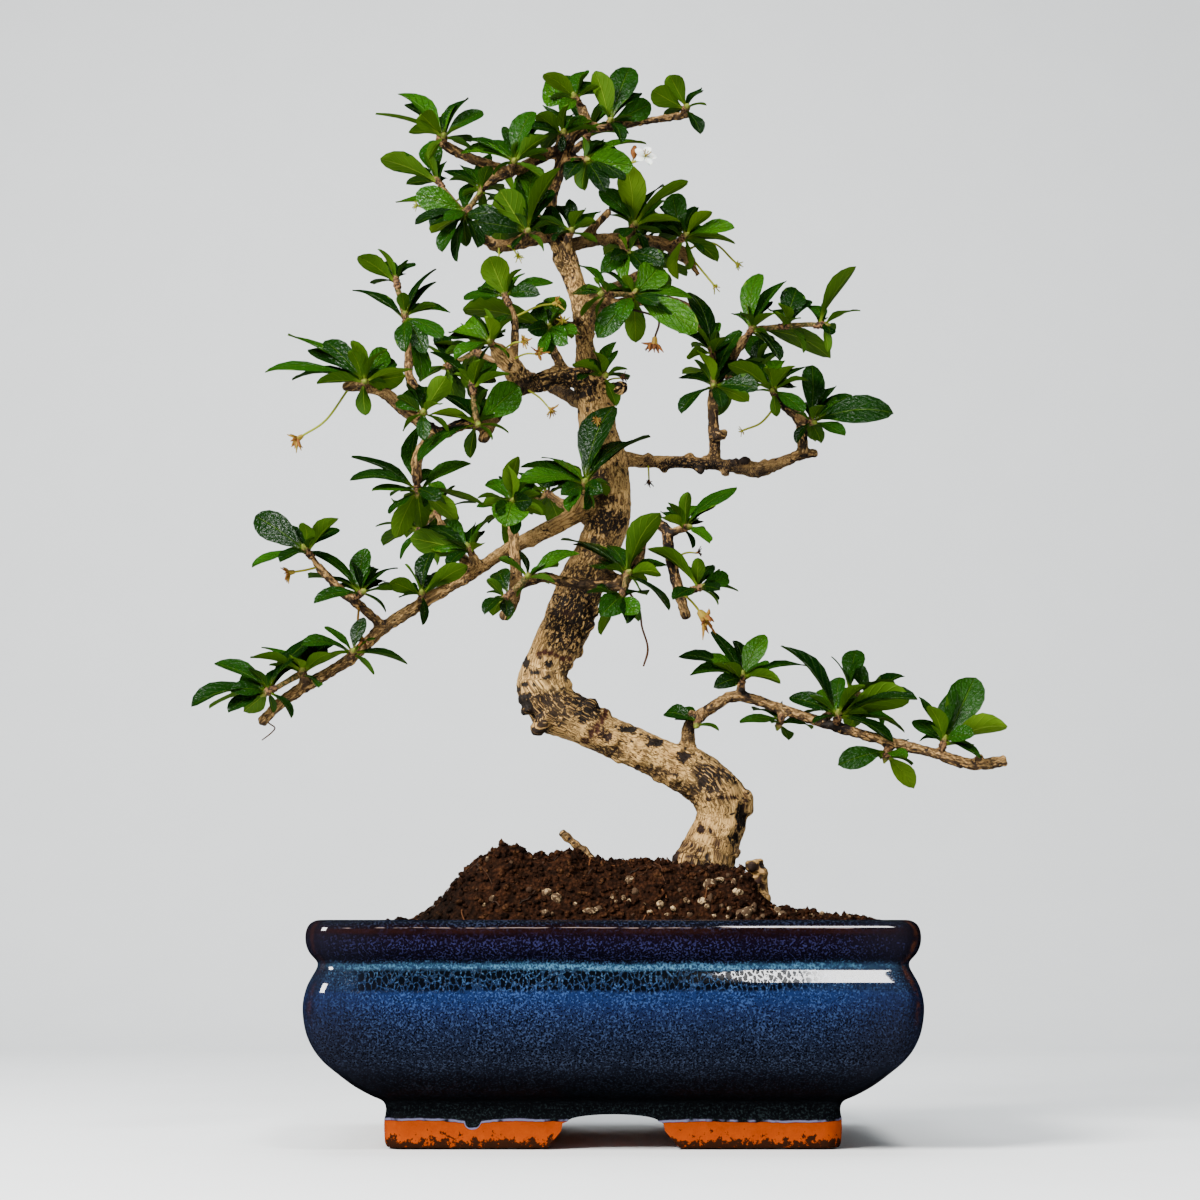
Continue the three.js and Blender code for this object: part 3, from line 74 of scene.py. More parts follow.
POT_INSIDE = [(76.5, 17), (60, 17), (28.5, 17), (14.5, 27), (8.2, 38), (6.8, 47), (9.4, 64.5), (8.7, 70), (7.6, 72)]
ARCH_HALF_TOP = 15.8
ARCH_HALF_FOOT = 20.3
ARCH_SPRING = 8.4
ARCH_RISE = 2.2
SIDE_ARCH_NARROWER = 4
DRAIN_RADIUS = 7
DRAIN_OFFSET = 38

# Soil
SKYLINE = [
    (-88, 69.6), (-66, 72), (-59.7, 76.5), (-52.8, 84.5), (-46, 92), (-41, 94), (-37.2, 97), (-32, 95.6),
    (-28.5, 93.3), (-20, 93.2), (-14.6, 94.6), (-4, 91.4), (13, 91), (30, 89.3), (43, 88.6), (46, 86.5),
    (48.2, 81.5), (51, 77.6), (55, 75.8), (61.8, 75), (68.7, 74.4), (80, 73.4), (88, 72),
]
BALL_HALF_DEPTH = 36
BALL_FOOT_DEPTH = 58
FILL_LEVEL = 67.5

# Leaves, as in the part's source
LEAF_WIDTH_SHARE = 0.37
LEAF_ARCH = 0.09
BUD_HALF_LENGTH = 3
BUD_ROOTS = 1.2
GAP = 0.3
SHORTEST_SPUR = 1.5
SPUR_FOOT = 1.7
GOLDEN = math.radians(137.5)
RULE_LENGTH = 19
TRIES = [
    (0, 0), (0.15, 0), (-0.15, 0), (0.3, 0), (-0.3, 0), (0, 0.35), (0, -0.35), (0.3, 0.35), (-0.3, 0.35),
    (0.5, 0), (-0.5, 0), (0.5, -0.35), (-0.5, -0.35), (0.75, 0.2), (-0.75, 0.2), (1, 0), (-1, 0),
]

# Rows of wood: picture column, row, seen width in pixels and depth
TRUNK = [
    (698, 950, 44, 2), (699, 908, 66, 1), (703, 872, 64, 0), (712, 845, 56, 0), (721, 818, 51, 0),
    (719, 798, 54, -1), (703, 781, 50, -2), (679, 768, 44, -3), (640, 750, 40, -4), (601, 733, 40, -5),
    (580, 721, 44, -6), (557, 709, 50, -6), (543, 690, 53, -6), (546, 668, 46, -6), (556, 645, 48, -5),
    (568, 622, 50, -4), (580, 586, 47, -2), (597, 550, 44, 0), (611, 513, 41, 2), (611, 477, 39, 3),
    (605, 450, 39, 3), (598, 428, 39, 2), (597, 404, 38, 2), (590, 382, 34, 1), (585, 345, 20, 0),
    (581, 304, 22, 0), (572, 275, 21, 0), (564, 250, 21, 0), (558, 233, 15, 0),
]
ROOT_STUB = [
    (706, 925, 20, 0), (735, 925, 18, 1), (757, 908, 17, 2), (761, 885, 16, 2), (757, 862, 16, 2),
]
TWIG = [(604, 890, 8, -3), (589, 857, 9, -3), (576, 845, 8, -3), (562, 833, 9, -3)]
LIMBS = [
    [
        (564, 248, 17, 0), (556, 225, 13, 0), (551, 206, 11, -1), (555, 184, 11, -1), (565, 152, 10, -1),
        (573, 136, 10, 0), (586, 128, 9, 0), (602, 128, 8, 0),
    ],
    [
        (690, 762, 18, -3), (688, 735, 15, -5), (693, 721, 13, -8), (716, 705, 9, -14), (740, 696, 9, -16),
        (793, 713, 8, -20), (857, 733, 8, -26), (933, 753, 8, -31), (972, 764, 9, -32), (1004, 761, 9, -34),
    ],
    [
        (597, 503, 20, 0), (570, 518, 18, -5), (538, 535, 17, -11), (507, 550, 14, -16),
        (471, 574, 12, -22), (422, 603, 11, -27), (381, 630, 11, -32), (350, 659, 10, -38),
        (316, 680, 10, -42), (284, 700, 10, -46), (262, 722, 8, -49),
    ],
    [(385, 628, 8, -32), (359, 605, 7, -36), (340, 590, 7, -39), (318, 566, 6, -42)],
    [
        (608, 455, 18, 3), (640, 461, 14, 8), (680, 462, 12, 12), (715, 464, 12, 16), (740, 468, 14, 19),
        (757, 470, 16, 20), (775, 465, 11, 22), (800, 455, 9, 24), (815, 453, 7, 26),
    ],
    [
        (715, 462, 11, 16), (714, 432, 10, 12), (713, 400, 9, 8), (719, 378, 8, 7), (732, 358, 7, 8),
        (745, 338, 7, 11),
    ],
    [(803, 455, 9, 24), (802, 436, 9, 22), (800, 422, 9, 19), (789, 408, 9, 15), (777, 399, 8, 11)],
    [
        (590, 382, 22, 0), (569, 377, 20, -5), (550, 378, 19, -11), (530, 385, 18, -15),
        (515, 391, 16, -19), (500, 410, 14, -22), (490, 425, 11, -23), (483, 440, 8, -24),
    ],
    [
        (488, 424, 10, -23), (465, 424, 10, -26), (450, 430, 10, -27), (437, 432, 11, -28),
        (410, 415, 11, -30), (395, 402, 11, -31), (380, 390, 12, -32), (359, 385, 11, -34),
        (346, 387, 8, -35),
    ],
    [(437, 432, 9, -28), (424, 445, 9, -27), (417, 460, 9, -26), (417, 480, 8, -23)],
    [(411, 416, 9, -30), (414, 388, 8, -31), (409, 375, 7, -31), (409, 345, 7, -31), (407, 328, 6, -31)],
    [(524, 386, 22, -15), (515, 368, 20, -22), (505, 358, 19, -26), (497, 350, 17, -28)],
    [(513, 364, 7, -23), (515, 335, 6, -26), (515, 317, 5, -27)],
    [(565, 374, 9, -5), (548, 340, 7, -12)],
    [(583, 305, 14, 0), (606, 304, 12, -5), (626, 307, 10, -9)],
    [
        (570, 245, 14, 1), (604, 239, 11, 7), (645, 240, 10, 12), (668, 246, 12, 16), (682, 254, 15, 19),
        (692, 263, 8, 20),
    ],
    [(562, 234, 13, 0), (540, 238, 12, -3), (522, 242, 12, -5), (499, 246, 11, -8), (481, 237, 7, -11)],
    [(563, 150, 9, -1), (543, 156, 10, -4), (522, 168, 11, -7), (505, 173, 10, -8), (489, 181, 8, -9)],
    [(507, 171, 8, -8), (478, 161, 8, -8), (455, 151, 8, -8), (441, 142, 6, -8)],
    [(588, 129, 9, 0), (582, 108, 7, 0)],
    [(598, 128, 7, 0), (640, 122, 6, 3), (680, 116, 5, 4), (692, 115, 4, 5)],
    [
        (598, 572, 14, -3), (624, 584, 11, -19), (604, 586, 9, -23), (560, 581, 8, -26), (545, 577, 8, -27),
        (514, 586, 8, -27),
    ],
    [(508, 612, 9, -28), (515, 592, 12, -27), (515, 560, 9, -26), (513, 530, 8, -24), (512, 510, 7, -23)],
    [
        (622, 584, 10, -18), (637, 560, 10, -19), (644, 533, 9, -20), (654, 523, 9, -20),
        (666, 530, 9, -20), (669, 550, 9, -20), (676, 580, 9, -20), (686, 617, 8, -20),
    ],
    [(604, 535, 16, 4), (585, 518, 12, 27), (562, 503, 8, 43)],
    [
        (584, 338, 13, 2), (602, 312, 11, 20), (640, 300, 9, 34), (684, 306, 8, 44), (706, 334, 7, 50),
        (718, 366, 7, 51),
    ],
    [(598, 412, 15, 4), (548, 385, 10, 27), (497, 362, 7, 40)],
    [(581, 300, 10, 2), (612, 288, 8, 22), (640, 274, 6, 36)],
    [(563, 242, 9, 2), (540, 222, 7, 20), (525, 210, 6, 31)],
    [(560, 168, 7, 0), (573, 152, 6, 11), (582, 143, 5, 19)],
    [(474, 572, 9, -21), (452, 545, 7, 7), (441, 524, 6, 25)],
    [(820, 722, 7, -23), (836, 708, 6, -4), (846, 696, 5, 9)],
]
STUBS = [
    [(548, 712, 20, -9), (536, 730, 13, -14)],
    [(600, 392, 16, 0), (622, 388, 11, -8)],
    [(583, 330, 12, -1), (563, 325, 9, -9)],
    [(713, 437, 9, 12), (723, 434, 8, 8)],
    [(508, 612, 9, -28), (504, 616, 8, -30)],
    [(512, 516, 5, -23), (503, 481, 4, -23)],
    [(586, 236, 7, 4), (609, 211, 5, 1)],
    [(567, 157, 6, -1), (607, 166, 4, -5)],
    [(606, 304, 6, -7), (613, 287, 4, -9)],
    [(690, 262, 5, 20), (698, 275, 3, 20)],
    [(976, 764, 7, -32), (980, 756, 5, -35)],
    [(440, 141, 6, -8), (437, 120, 4, -8)],
]
DRY_STALKS = [
    [(492, 179, 4, -8), (468, 192, 3, -1), (440, 212, 3, -1), (419, 206, 3, -4)],
    [(690, 256, 4, 20), (713, 284, 3, 16)],
    [(680, 252, 4, 19), (712, 243, 3, 22), (735, 262, 3, 20)],
    [(779, 401, 4, 11), (762, 422, 3, 7), (744, 430, 3, 5)],
    [(349, 388, 4, -35), (326, 420, 3, -40), (302, 436, 3, -42)],
    [(318, 567, 4, -42), (306, 570, 3, -46), (294, 572, 3, -47)],
    [(359, 606, 4, -36), (358, 622, 3, -42), (361, 636, 3, -43)],
    [(677, 588, 5, -20), (692, 602, 4, -27), (700, 612, 4, -28)],
    [
        (625, 586, 4, -19), (638.7, 608, 2.4, -21), (642, 627, 2.2, -22), (647, 643, 2.2, -22),
        (647.5, 653, 2.6, -22),
        (643.5, 666, 2, -22),
    ],
    [(622, 307, 4, -9), (657, 318, 3, -12), (655, 338, 3, -12)],
    [(264, 719, 2, -49), (270, 724, 1.6, -49), (275, 728, 1.6, -50), (270, 734, 1.5, -50), (262, 740, 1.3, -49)],
]
SHOOTS = {
    "crown_left_tip": [
        (444, 137, -16, [(420, 113, 20, "L"), (483, 113, 14, "M"), (468, 98, 9, "D"), (399, 92, 16, "M"),
            (375, 116, 6, "L")]),
    ],
    "crown_left_low": [
        (482, 190, -12, [(444, 172, 10, "D"), (462, 164, 10, "M"), (488, 156, 14, "M"), (473, 170, 12, "M")]),
        (465, 214, -8, [(416, 193, 24, "M"), (396, 204, 14, "M"), (415, 224, 8, "D"), (431, 234, 10, "L"),
            (442, 252, 8, "D"), (458, 262, 9, "D"), (478, 248, 12, "D")]),
        (438, 182, -5, [(380, 159, 17, "L"), (428, 141, 22, "M")]),
    ],
    "crown_left_inner": [
        (514, 162, -18, [(532, 110, 18, "M"), (548, 135, 14, "L"), (459, 137, 9, "D"), (461, 150, 11, "M")]),
    ],
    "upper_left": [
        (527, 232, -14, [(500, 190, 28, "L"), (545, 220, 10, "D"), (477, 223, 17, "D"), (533, 165, 27, "M"),
            (560, 168, 10, "L")]),
    ],
    "leader_front": [
        (571, 232, -12, [(541, 215, 24, "D"), (584, 208, 9, "L"), (594, 222, 6, "D")]),
    ],
    "crown_top": [
        (576, 98, -3, [(544, 72, 14, "L"), (585, 70, 12, "M"), (544, 90, 25, "M"), (590, 82, 12, "M")]),
    ],
    "crown_peak": [
        (611, 120, -5, [(595, 71, 20, "L"), (630, 66, 24, "D"), (651, 104, 20, "M"), (618, 100, 12, "M")]),
    ],
    "crown_right": [
        (686, 108, -3, [(652, 90, 20, "L"), (670, 75, 18, "L"), (702, 92, 5, "D")]),
    ],
    "crown_front": [
        (563, 134, -11, [(537, 114, 14, "L"), (566, 103, 9, "L"), (532, 128, 8, "D")]),
    ],
    "crown_under": [
        (585, 160, -12, [(633, 166, 26, "M"), (605, 192, 16, "D"), (584, 190, 14, "L"), (606, 140, 12, "D"),
            (646, 141, 8, "M")]),
    ],
    "upper_right_inner": [
        (634, 226, 3, [(628, 163, 24, "L"), (600, 190, 15, "M"), (617, 184, 8, "D"), (688, 181, 8, "L"),
            (662, 183, 9, "D"), (664, 198, 12, "M"), (680, 219, 7, "L")]),
    ],
    "upper_right_tip": [
        (684, 237, 11, [(672, 193, 22, "M"), (652, 222, 14, "D"), (696, 207, 13, "D"), (711, 211, 13, "L"),
            (735, 229, 9, "M"), (735, 241, 8, "L"), (718, 260, 13, "L"), (676, 279, 9, "L")]),
    ],
    "upper_right_under": [
        (628, 252, 3, [(602, 271, 15, "M"), (664, 262, 14, "D"), (625, 279, 12, "M"), (645, 262, 10, "L")]),
    ],
    "upper_right_low": [
        (632, 297, -11, [(662, 264, 27, "M"), (692, 298, 10, "M"), (697, 331, 24, "M"), (636, 342, 20, "L"),
            (597, 338, 22, "M"), (657, 303, 9, "D")]),
        (605, 294, -19, [(580, 263, 10, "M"), (572, 292, 12, "D"), (619, 286, 12, "M")]),
    ],
    "right_high": [
        (714, 386, -5, [(699, 350, 9, "L"), (679, 377, 8, "D"), (680, 411, 6, "D"), (741, 331, 14, "D"),
            (758, 389, 13, "D"), (749, 402, 12, "L")]),
        (712, 352, -3, [(692, 289, 20, "D"), (679, 331, 9, "D"), (688, 356, 10, "L"), (716, 324, 14, "M")]),
    ],
    "right_top": [
        (752, 329, 8, [(757, 271, 20, "M"), (786, 281, 13, "D"), (774, 312, 9, "L"), (831, 353, 18, "L")]),
        (787, 326, 5, [(797, 288, 22, "D"), (781, 303, 9, "L")]),
        (822, 325, 3, [(857, 267, 13, "L"), (860, 309, 6, "L"), (806, 305, 7, "D")]),
    ],
    "right_mid": [
        (773, 391, 0, [(729, 362, 14, "L"), (740, 357, 9, "D"), (768, 366, 12, "L"), (780, 359, 14, "M"),
            (793, 364, 9, "L"), (807, 364, 6, "D"), (804, 413, 12, "M")]),
    ],
    "right_out": [
        (812, 422, 11, [(811, 366, 20, "D"), (852, 396, 12, "D"), (892, 409, 22, "D"), (845, 436, 10, "M"),
            (822, 405, 10, "L")]),
    ],
    "left_hanging": [
        (417, 489, -22, [(418, 428, 15, "M"), (351, 458, 7, "D"), (351, 476, 9, "D"), (390, 514, 8, "D"),
            (396, 538, 19, "L"), (422, 528, 18, "L"), (457, 520, 16, "L"), (484, 506, 9, "L"), (471, 464, 9, "M")]),
    ],
    "low_left_inner": [
        (470, 550, -24, [(423, 524, 12, "D"), (447, 525, 20, "M"), (476, 524, 6, "D"), (494, 516, 6, "M"),
            (448, 565, 9, "D"), (409, 538, 24, "L")]),
    ],
    "low_left_mid": [
        (422, 594, -32, [(390, 581, 16, "L"), (431, 552, 14, "D"), (467, 565, 17, "L")]),
    ],
    "front_twig": [
        (528, 577, -35, [(579, 552, 14, "M"), (549, 583, 7, "L")]),
        (506, 597, -36, [(497, 569, 18, "D"), (484, 611, 8, "D")]),
    ],
    "centre": [
        (585, 484, -19, [(612, 405, 24, "D"), (650, 436, 9, "D"), (521, 466, 10, "M"), (543, 454, 9, "M"),
            (519, 480, 9, "M"), (562, 494, 14, "D"), (601, 492, 14, "D")]),
    ],
    "centre_left": [
        (513, 502, -31, [(517, 456, 14, "L"), (484, 506, 12, "L"), (487, 480, 13, "M"), (506, 524, 33, "M"),
            (531, 482, 14, "D"), (545, 514, 12, "L")]),
    ],
    "centre_low": [
        (627, 574, -27, [(658, 511, 20, "L"), (562, 537, 8, "D"), (574, 542, 7, "M"), (590, 566, 8, "D"),
            (661, 571, 12, "L"), (671, 607, 8, "D"), (645, 584, 10, "L")]),
        (621, 597, -30, [(602, 614, 22, "M"), (638, 615, 18, "M"), (601, 635, 8, "L")]),
    ],
    "arch_tip": [
        (686, 528, -27, [(737, 488, 9, "M"), (662, 512, 9, "D"), (693, 504, 12, "M"), (710, 541, 8, "M")]),
    ],
    "arch_low": [
        (699, 588, -23, [(728, 577, 16, "M"), (738, 591, 6, "M"), (673, 599, 10, "D"), (690, 568, 12, "M"),
            (650, 545, 12, "L")]),
    ],
    "low_right_foot": [
        (697, 725, -15, [(664, 711, 15, "D")]),
    ],
    "low_right_inner": [
        (742, 678, -20, [(764, 633, 19, "M"), (711, 632, 14, "D"), (680, 652, 8, "D"), (690, 673, 7, "M"),
            (716, 685, 14, "D"), (813, 664, 8, "D"), (781, 680, 9, "L")]),
    ],
    "low_right_drop": [
        (780, 722, -20, [(740, 723, 9, "M"), (813, 726, 8, "M")]),
    ],
    "low_right_mid": [
        (838, 714, -28, [(783, 644, 12, "D"), (789, 698, 14, "D"), (840, 677, 16, "M"), (864, 684, 9, "L"),
            (917, 698, 8, "D"), (909, 693, 22, "L"), (893, 741, 11, "D"), (812, 700, 8, "D")]),
    ],
    "low_right_under": [
        (886, 756, -28, [(838, 765, 17, "D"), (914, 786, 16, "L"), (906, 756, 7, "M")]),
    ],
    "low_right_tip": [
        (945, 739, -34, [(975, 677, 32, "M"), (930, 705, 13, "L"), (914, 719, 14, "M"), (920, 738, 8, "D"),
            (1007, 723, 18, "L")]),
    ],
    "low_left_tip": [
        (303, 672, -50, [(262, 646, 9, "M"), (318, 641, 24, "M"), (293, 655, 10, "L"), (250, 658, 7, "L"),
            (330, 652, 10, "L")]),
        (268, 692, -55, [(214, 665, 12, "D"), (243, 674, 16, "M"), (191, 702, 9, "D"), (228, 711, 9, "D"),
            (243, 712, 18, "L"), (297, 661, 8, "D"), (320, 634, 9, "D")]),
    ],
    "low_left_spur": [
        (353, 652, -45, [(303, 641, 8, "M"), (407, 665, 7, "D")]),
    ],
    "left_low_tip": [
        (307, 551, -46, [(254, 514, 25, "D"), (305, 522, 12, "L"), (338, 519, 10, "L"), (338, 529, 13, "D"),
            (252, 568, 6, "M")]),
    ],
    "left_low_inner": [
        (361, 593, -42, [(365, 549, 17, "M"), (396, 565, 7, "D"), (384, 579, 9, "D"), (308, 578, 10, "D"),
            (314, 600, 10, "D"), (312, 549, 7, "M")]),
    ],
    "left_tip": [
        (364, 382, -42, [(287, 337, 9, "M"), (325, 340, 22, "D"), (266, 367, 8, "M"), (292, 376, 8, "D"),
            (317, 384, 9, "L"), (352, 350, 15, "L"), (386, 349, 20, "M"), (405, 376, 22, "L")]),
    ],
    "left_high": [
        (406, 320, -32, [(353, 289, 8, "D"), (435, 268, 8, "D"), (436, 282, 8, "D"), (450, 311, 7, "M"),
            (443, 338, 12, "M"), (421, 380, 16, "M")]),
        (396, 281, -30, [(358, 255, 17, "L"), (413, 263, 9, "D")]),
    ],
    "left_joint": [
        (423, 413, -38, [(399, 396, 22, "M"), (447, 376, 20, "L")]),
    ],
    "mid_left_tip": [
        (506, 297, -27, [(489, 256, 25, "L"), (464, 298, 12, "M"), (523, 273, 6, "M"), (553, 283, 10, "M")]),
    ],
    "mid_left_stub": [
        (491, 343, -35, [(468, 318, 18, "M"), (488, 317, 12, "L"), (506, 316, 12, "D"), (449, 330, 12, "M"),
            (462, 354, 9, "L")]),
    ],
    "mid_left_fork": [
        (477, 424, -32, [(519, 386, 28, "M"), (430, 412, 9, "L"), (416, 456, 7, "D"), (441, 393, 9, "D")]),
        (472, 385, -35, [(480, 360, 13, "L"), (430, 353, 9, "D"), (494, 364, 14, "M")]),
    ],
    "mid_left_trunk": [
        (549, 328, -20, [(463, 308, 20, "L"), (557, 296, 22, "M"), (576, 333, 7, "M"), (567, 343, 18, "M"),
            (545, 354, 10, "M")]),
    ],
    "trunk_node": [
        (604, 376, -12, [(613, 341, 13, "M"), (573, 364, 8, "L")]),
    ],
    "back_centre": [
        (548, 494, 50, []),
        (520, 508, 58, []),
    ],
    "back_right": [
        (728, 378, 52, []),
        (757, 372, 56, []),
    ],
    "back_left": [
        (476, 352, 47, []),
        (448, 366, 54, []),
    ],
    "back_upper_right": [
        (654, 266, 43, []),
        (640, 246, 49, []),
    ],
    "back_upper_left": [
        (515, 200, 38, []),
        (500, 222, 45, []),
    ],
    "back_crown": [
        (588, 136, 25, []),
    ],
    "back_low_left": [
        (437, 512, 32, []),
        (420, 530, 38, []),
    ],
    "back_low_right": [
        (850, 690, 16, []),
        (868, 700, 22, []),
    ],
}


def unit(vector):
    """The vector, or each row of vectors, at length one."""
    vector = np.asarray(vector, float)
    return vector / np.maximum(np.linalg.norm(vector, axis=-1, keepdims=True), 1e-12)


def seen(column, row, depth):
    """The point at a depth behind the pot's middle that shows at a picture column and row."""
    right = (column - PICTURE_MIDDLE) / FOCAL
    up = (PICTURE_MIDDLE - row) / FOCAL
    sin, cos = math.sin(VIEW_PITCH), math.cos(VIEW_PITCH)
    reach = (depth - VIEW[1]) / (cos - up * sin)
    return np.array([VIEW[0] + reach * right, depth, VIEW[2] + reach * (sin + up * cos)])


def per_pixel(depth):
    """Millimetres that one picture pixel spans at a depth."""
    return (depth - VIEW[1]) / FOCAL


def hashed(cells, seed):
    """A fixed pseudo-random number from 0 to 1 for each integer lattice cell."""
    mixed = (cells[..., 0] * 374761393 + cells[..., 1] * 668265263 + cells[..., 2] * 2147483647 + seed * 974711)
    mixed = mixed.astype(np.int64) & 0xFFFFFFFF
    mixed = ((mixed ^ (mixed >> 13)) * 1274126177) & 0xFFFFFFFF
    return ((mixed ^ (mixed >> 16)) & 0xFFFF) / 65535.0


def noise(points, scale, seed=0):
    """Smooth lattice noise from -1 to 1: hashed corners blended with a smoothstep weight."""
    scaled = np.asarray(points, float) * scale
    base = np.floor(scaled).astype(np.int64)
    part = scaled - base
    part = part * part * (3 - 2 * part)
    total = 0
    for i in (0, 1):
        for j in (0, 1):
            for k in (0, 1):
                corner = hashed(base + np.array([i, j, k]), seed)
                weight = np.where(i, part[..., 0], 1 - part[..., 0])
                weight = weight * np.where(j, part[..., 1], 1 - part[..., 1])
                total = total + corner * weight * np.where(k, part[..., 2], 1 - part[..., 2])
    return 2 * total - 1


def layered(points, scale, seed=0, layers=3):
    """Noise layers summed, each twice as fine and half as strong as the one before."""
    return sum(noise(points, scale * 2 ** k, seed + k) * 0.5 ** k for k in range(layers))


class Build:
    """Collects closed surfaces with their attributes and makes one object of them."""

    def __init__(self, name):
        self.name = name
        self.points = []
        self.faces = []
        self.slots = []
        self.marks = []
        self.count = 0

    def add(self, points, faces, slot=0, marks=None):
        """Takes points in millimetres, faces as rows of indices, a slot number and marks per point."""
        points = np.asarray(points, float).reshape(-1, 3)
        marks = np.zeros((len(points), 4)) if marks is None else np.asarray(marks, float)
        self.points.append(points)
        for face_set in faces if isinstance(faces, list) else [faces]:
            face_set = np.asarray(face_set, int)
            self.faces.append(face_set + self.count)
            self.slots.append(np.broadcast_to(slot, len(face_set)).copy())
        self.marks.append(np.broadcast_to(marks, (len(points), 4)))
        self.count += len(points)

    def make(self, materials, sharp=40):
        """The object, at the origin, smooth but for edges sharper than the given angle."""
        points = (np.concatenate(self.points) + SHIFT) / 1000
        mesh = bpy.data.meshes.new(self.name)
        sizes = np.concatenate([np.full(len(f), f.shape[1]) for f in self.faces])
        corners = np.concatenate([f.ravel() for f in self.faces])
        mesh.vertices.add(len(points))
        mesh.vertices.foreach_set("co", points.astype(np.float32).ravel())
        mesh.loops.add(len(corners))
        mesh.loops.foreach_set("vertex_index", corners.astype(np.int32))
        mesh.polygons.add(len(sizes))
        starts = np.concatenate([[0], np.cumsum(sizes)[:-1]])
        mesh.polygons.foreach_set("loop_start", starts.astype(np.int32))
        mesh.polygons.foreach_set("material_index", np.concatenate(self.slots).astype(np.int32))
        mesh.update(calc_edges=True)
        mesh.validate()
        put_marks(mesh, np.concatenate(self.marks))
        piece = bpy.data.objects.new(self.name, mesh)
        bpy.context.scene.collection.objects.link(piece)
        return dress(piece, materials, sharp)


def put_marks(mesh, marks):
    """Stores the four marks of each point as the colour attribute that materials read."""
    layer = mesh.attributes.new("marks", "FLOAT_COLOR", "POINT")
    layer.data.foreach_set("color", marks.astype(np.float32).ravel())


def dress(piece, materials, sharp):
    """Gives a piece its materials and its shading."""
    for material in materials:
        piece.data.materials.append(material)
    piece.data.shade_smooth()
    piece.data.set_sharp_from_angle(angle=math.radians(sharp))
    return piece


def ride(piece, slot, *nodes):
    """The piece rides on the tree's one body in place of the named nodes, which it hides. The slot is not used."""
    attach(piece, "root")
    if nodes:
        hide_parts(*nodes)
    return piece


def ring_faces(rings, around):
    """Quads between successive rings of equal count, closed round each ring."""
    k, i = np.meshgrid(np.arange(rings - 1), np.arange(around), indexing="ij")
    a = (k * around + i).ravel()
    b = (k * around + (i + 1) % around).ravel()
    return np.stack([a, b, b + around, a + around], 1)


def smooth_path(points, radii, step):
    """A curve through the points in even steps: each span is a cubic with the neighbours' slopes."""
    points = np.asarray(points, float)
    radii = np.asarray(radii, float)
    data = np.column_stack([points, radii])
    before = np.vstack([2 * data[0] - data[1], data, 2 * data[-1] - data[-2]])
    out = []
    for k in range(len(data) - 1):
        p0, p1, p2, p3 = before[k:k + 4]
        count = max(2, int(np.linalg.norm(p2[:3] - p1[:3]) / step) + 1)
        t = np.linspace(0, 1, count, endpoint=False)[:, None]
        out.append(0.5 * (2 * p1 + (p2 - p0) * t + (2 * p0 - 5 * p1 + 4 * p2 - p3) * t ** 2
                          + (3 * p1 - p0 - 3 * p2 + p3) * t ** 3))
    out = np.vstack(out + [data[-1:]])
    return out[:, :3], np.maximum(out[:, 3], 0.12)


def frames_along(path):
    """Directions along, across and over a path, turned along it without twist."""
    along = unit(np.gradient(path, axis=0))
    normal = np.array([0.0, 1.0, 0.0])
    normals = []
    for direction in along:
        normal = unit(normal - normal.dot(direction) * direction)
        normals.append(normal)
    normals = np.array(normals)
    return along, normals, np.cross(along, normals)


def tube(path, radii, sides, rough=0.0, seed=0):
    """A closed tube with rounded ends: rings of points at the radius round the path, swollen by noise."""
    path, radii = np.asarray(path, float), np.asarray(radii, float)
    along, normal, across = frames_along(path)
    rings, sizes, centres = [], [], []
    for k in (0.0, 0.45, 0.8):
        centres.append(path[0] - along[0] * radii[0] * 0.6 * math.cos(k * math.pi / 2))
        sizes.append(max(0.02, radii[0] * math.sin(k * math.pi / 2)))
    for k in (0.8, 0.45, 0.0):
        rings.append(path[-1] + along[-1] * radii[-1] * 0.6 * math.cos(k * math.pi / 2))
    centres = np.vstack([centres, path, rings])
    ends = [max(0.02, radii[-1] * math.sin(k * math.pi / 2)) for k in (0.8, 0.45, 0.0)]
    sizes = np.concatenate([sizes, radii, ends])
    pick = np.concatenate([[0] * 3, np.arange(len(path)), [len(path) - 1] * 3])
    angle = np.linspace(0, 2 * math.pi, sides, endpoint=False)
    out = (normal[pick][:, None] * np.cos(angle)[None, :, None]
           + across[pick][:, None] * np.sin(angle)[None, :, None])
    reach = np.repeat(sizes[:, None], sides, 1)
    if rough:
        spots = centres[:, None] + out * sizes[:, None, None]
        reach = reach * (1 + rough * noise(spots, 0.7 / max(0.5, radii.mean()), seed))
    points = centres[:, None] + out * reach[..., None]
    count = len(centres)
    cap = np.arange(sides)
    faces = [ring_faces(count, sides), cap[::-1][None], (cap + (count - 1) * sides)[None]]
    return points.reshape(-1, 3), faces


# Materials ---------------------------------------------------------------------------------------


class Value:
    """An output socket that takes arithmetic with sockets and numbers."""

    def __init__(self, paint, socket):
        self.paint = paint
        self.socket = socket

    def __add__(self, other):
        return self.paint.math("ADD", self, other)

    def __radd__(self, other):
        return self.paint.math("ADD", other, self)

    def __sub__(self, other):
        return self.paint.math("SUBTRACT", self, other)

    def __rsub__(self, other):
        return self.paint.math("SUBTRACT", other, self)

    def __mul__(self, other):
        return self.paint.math("MULTIPLY", self, other)

    def __rmul__(self, other):
        return self.paint.math("MULTIPLY", other, self)

    def __truediv__(self, other):
        return self.paint.math("DIVIDE", self, other)


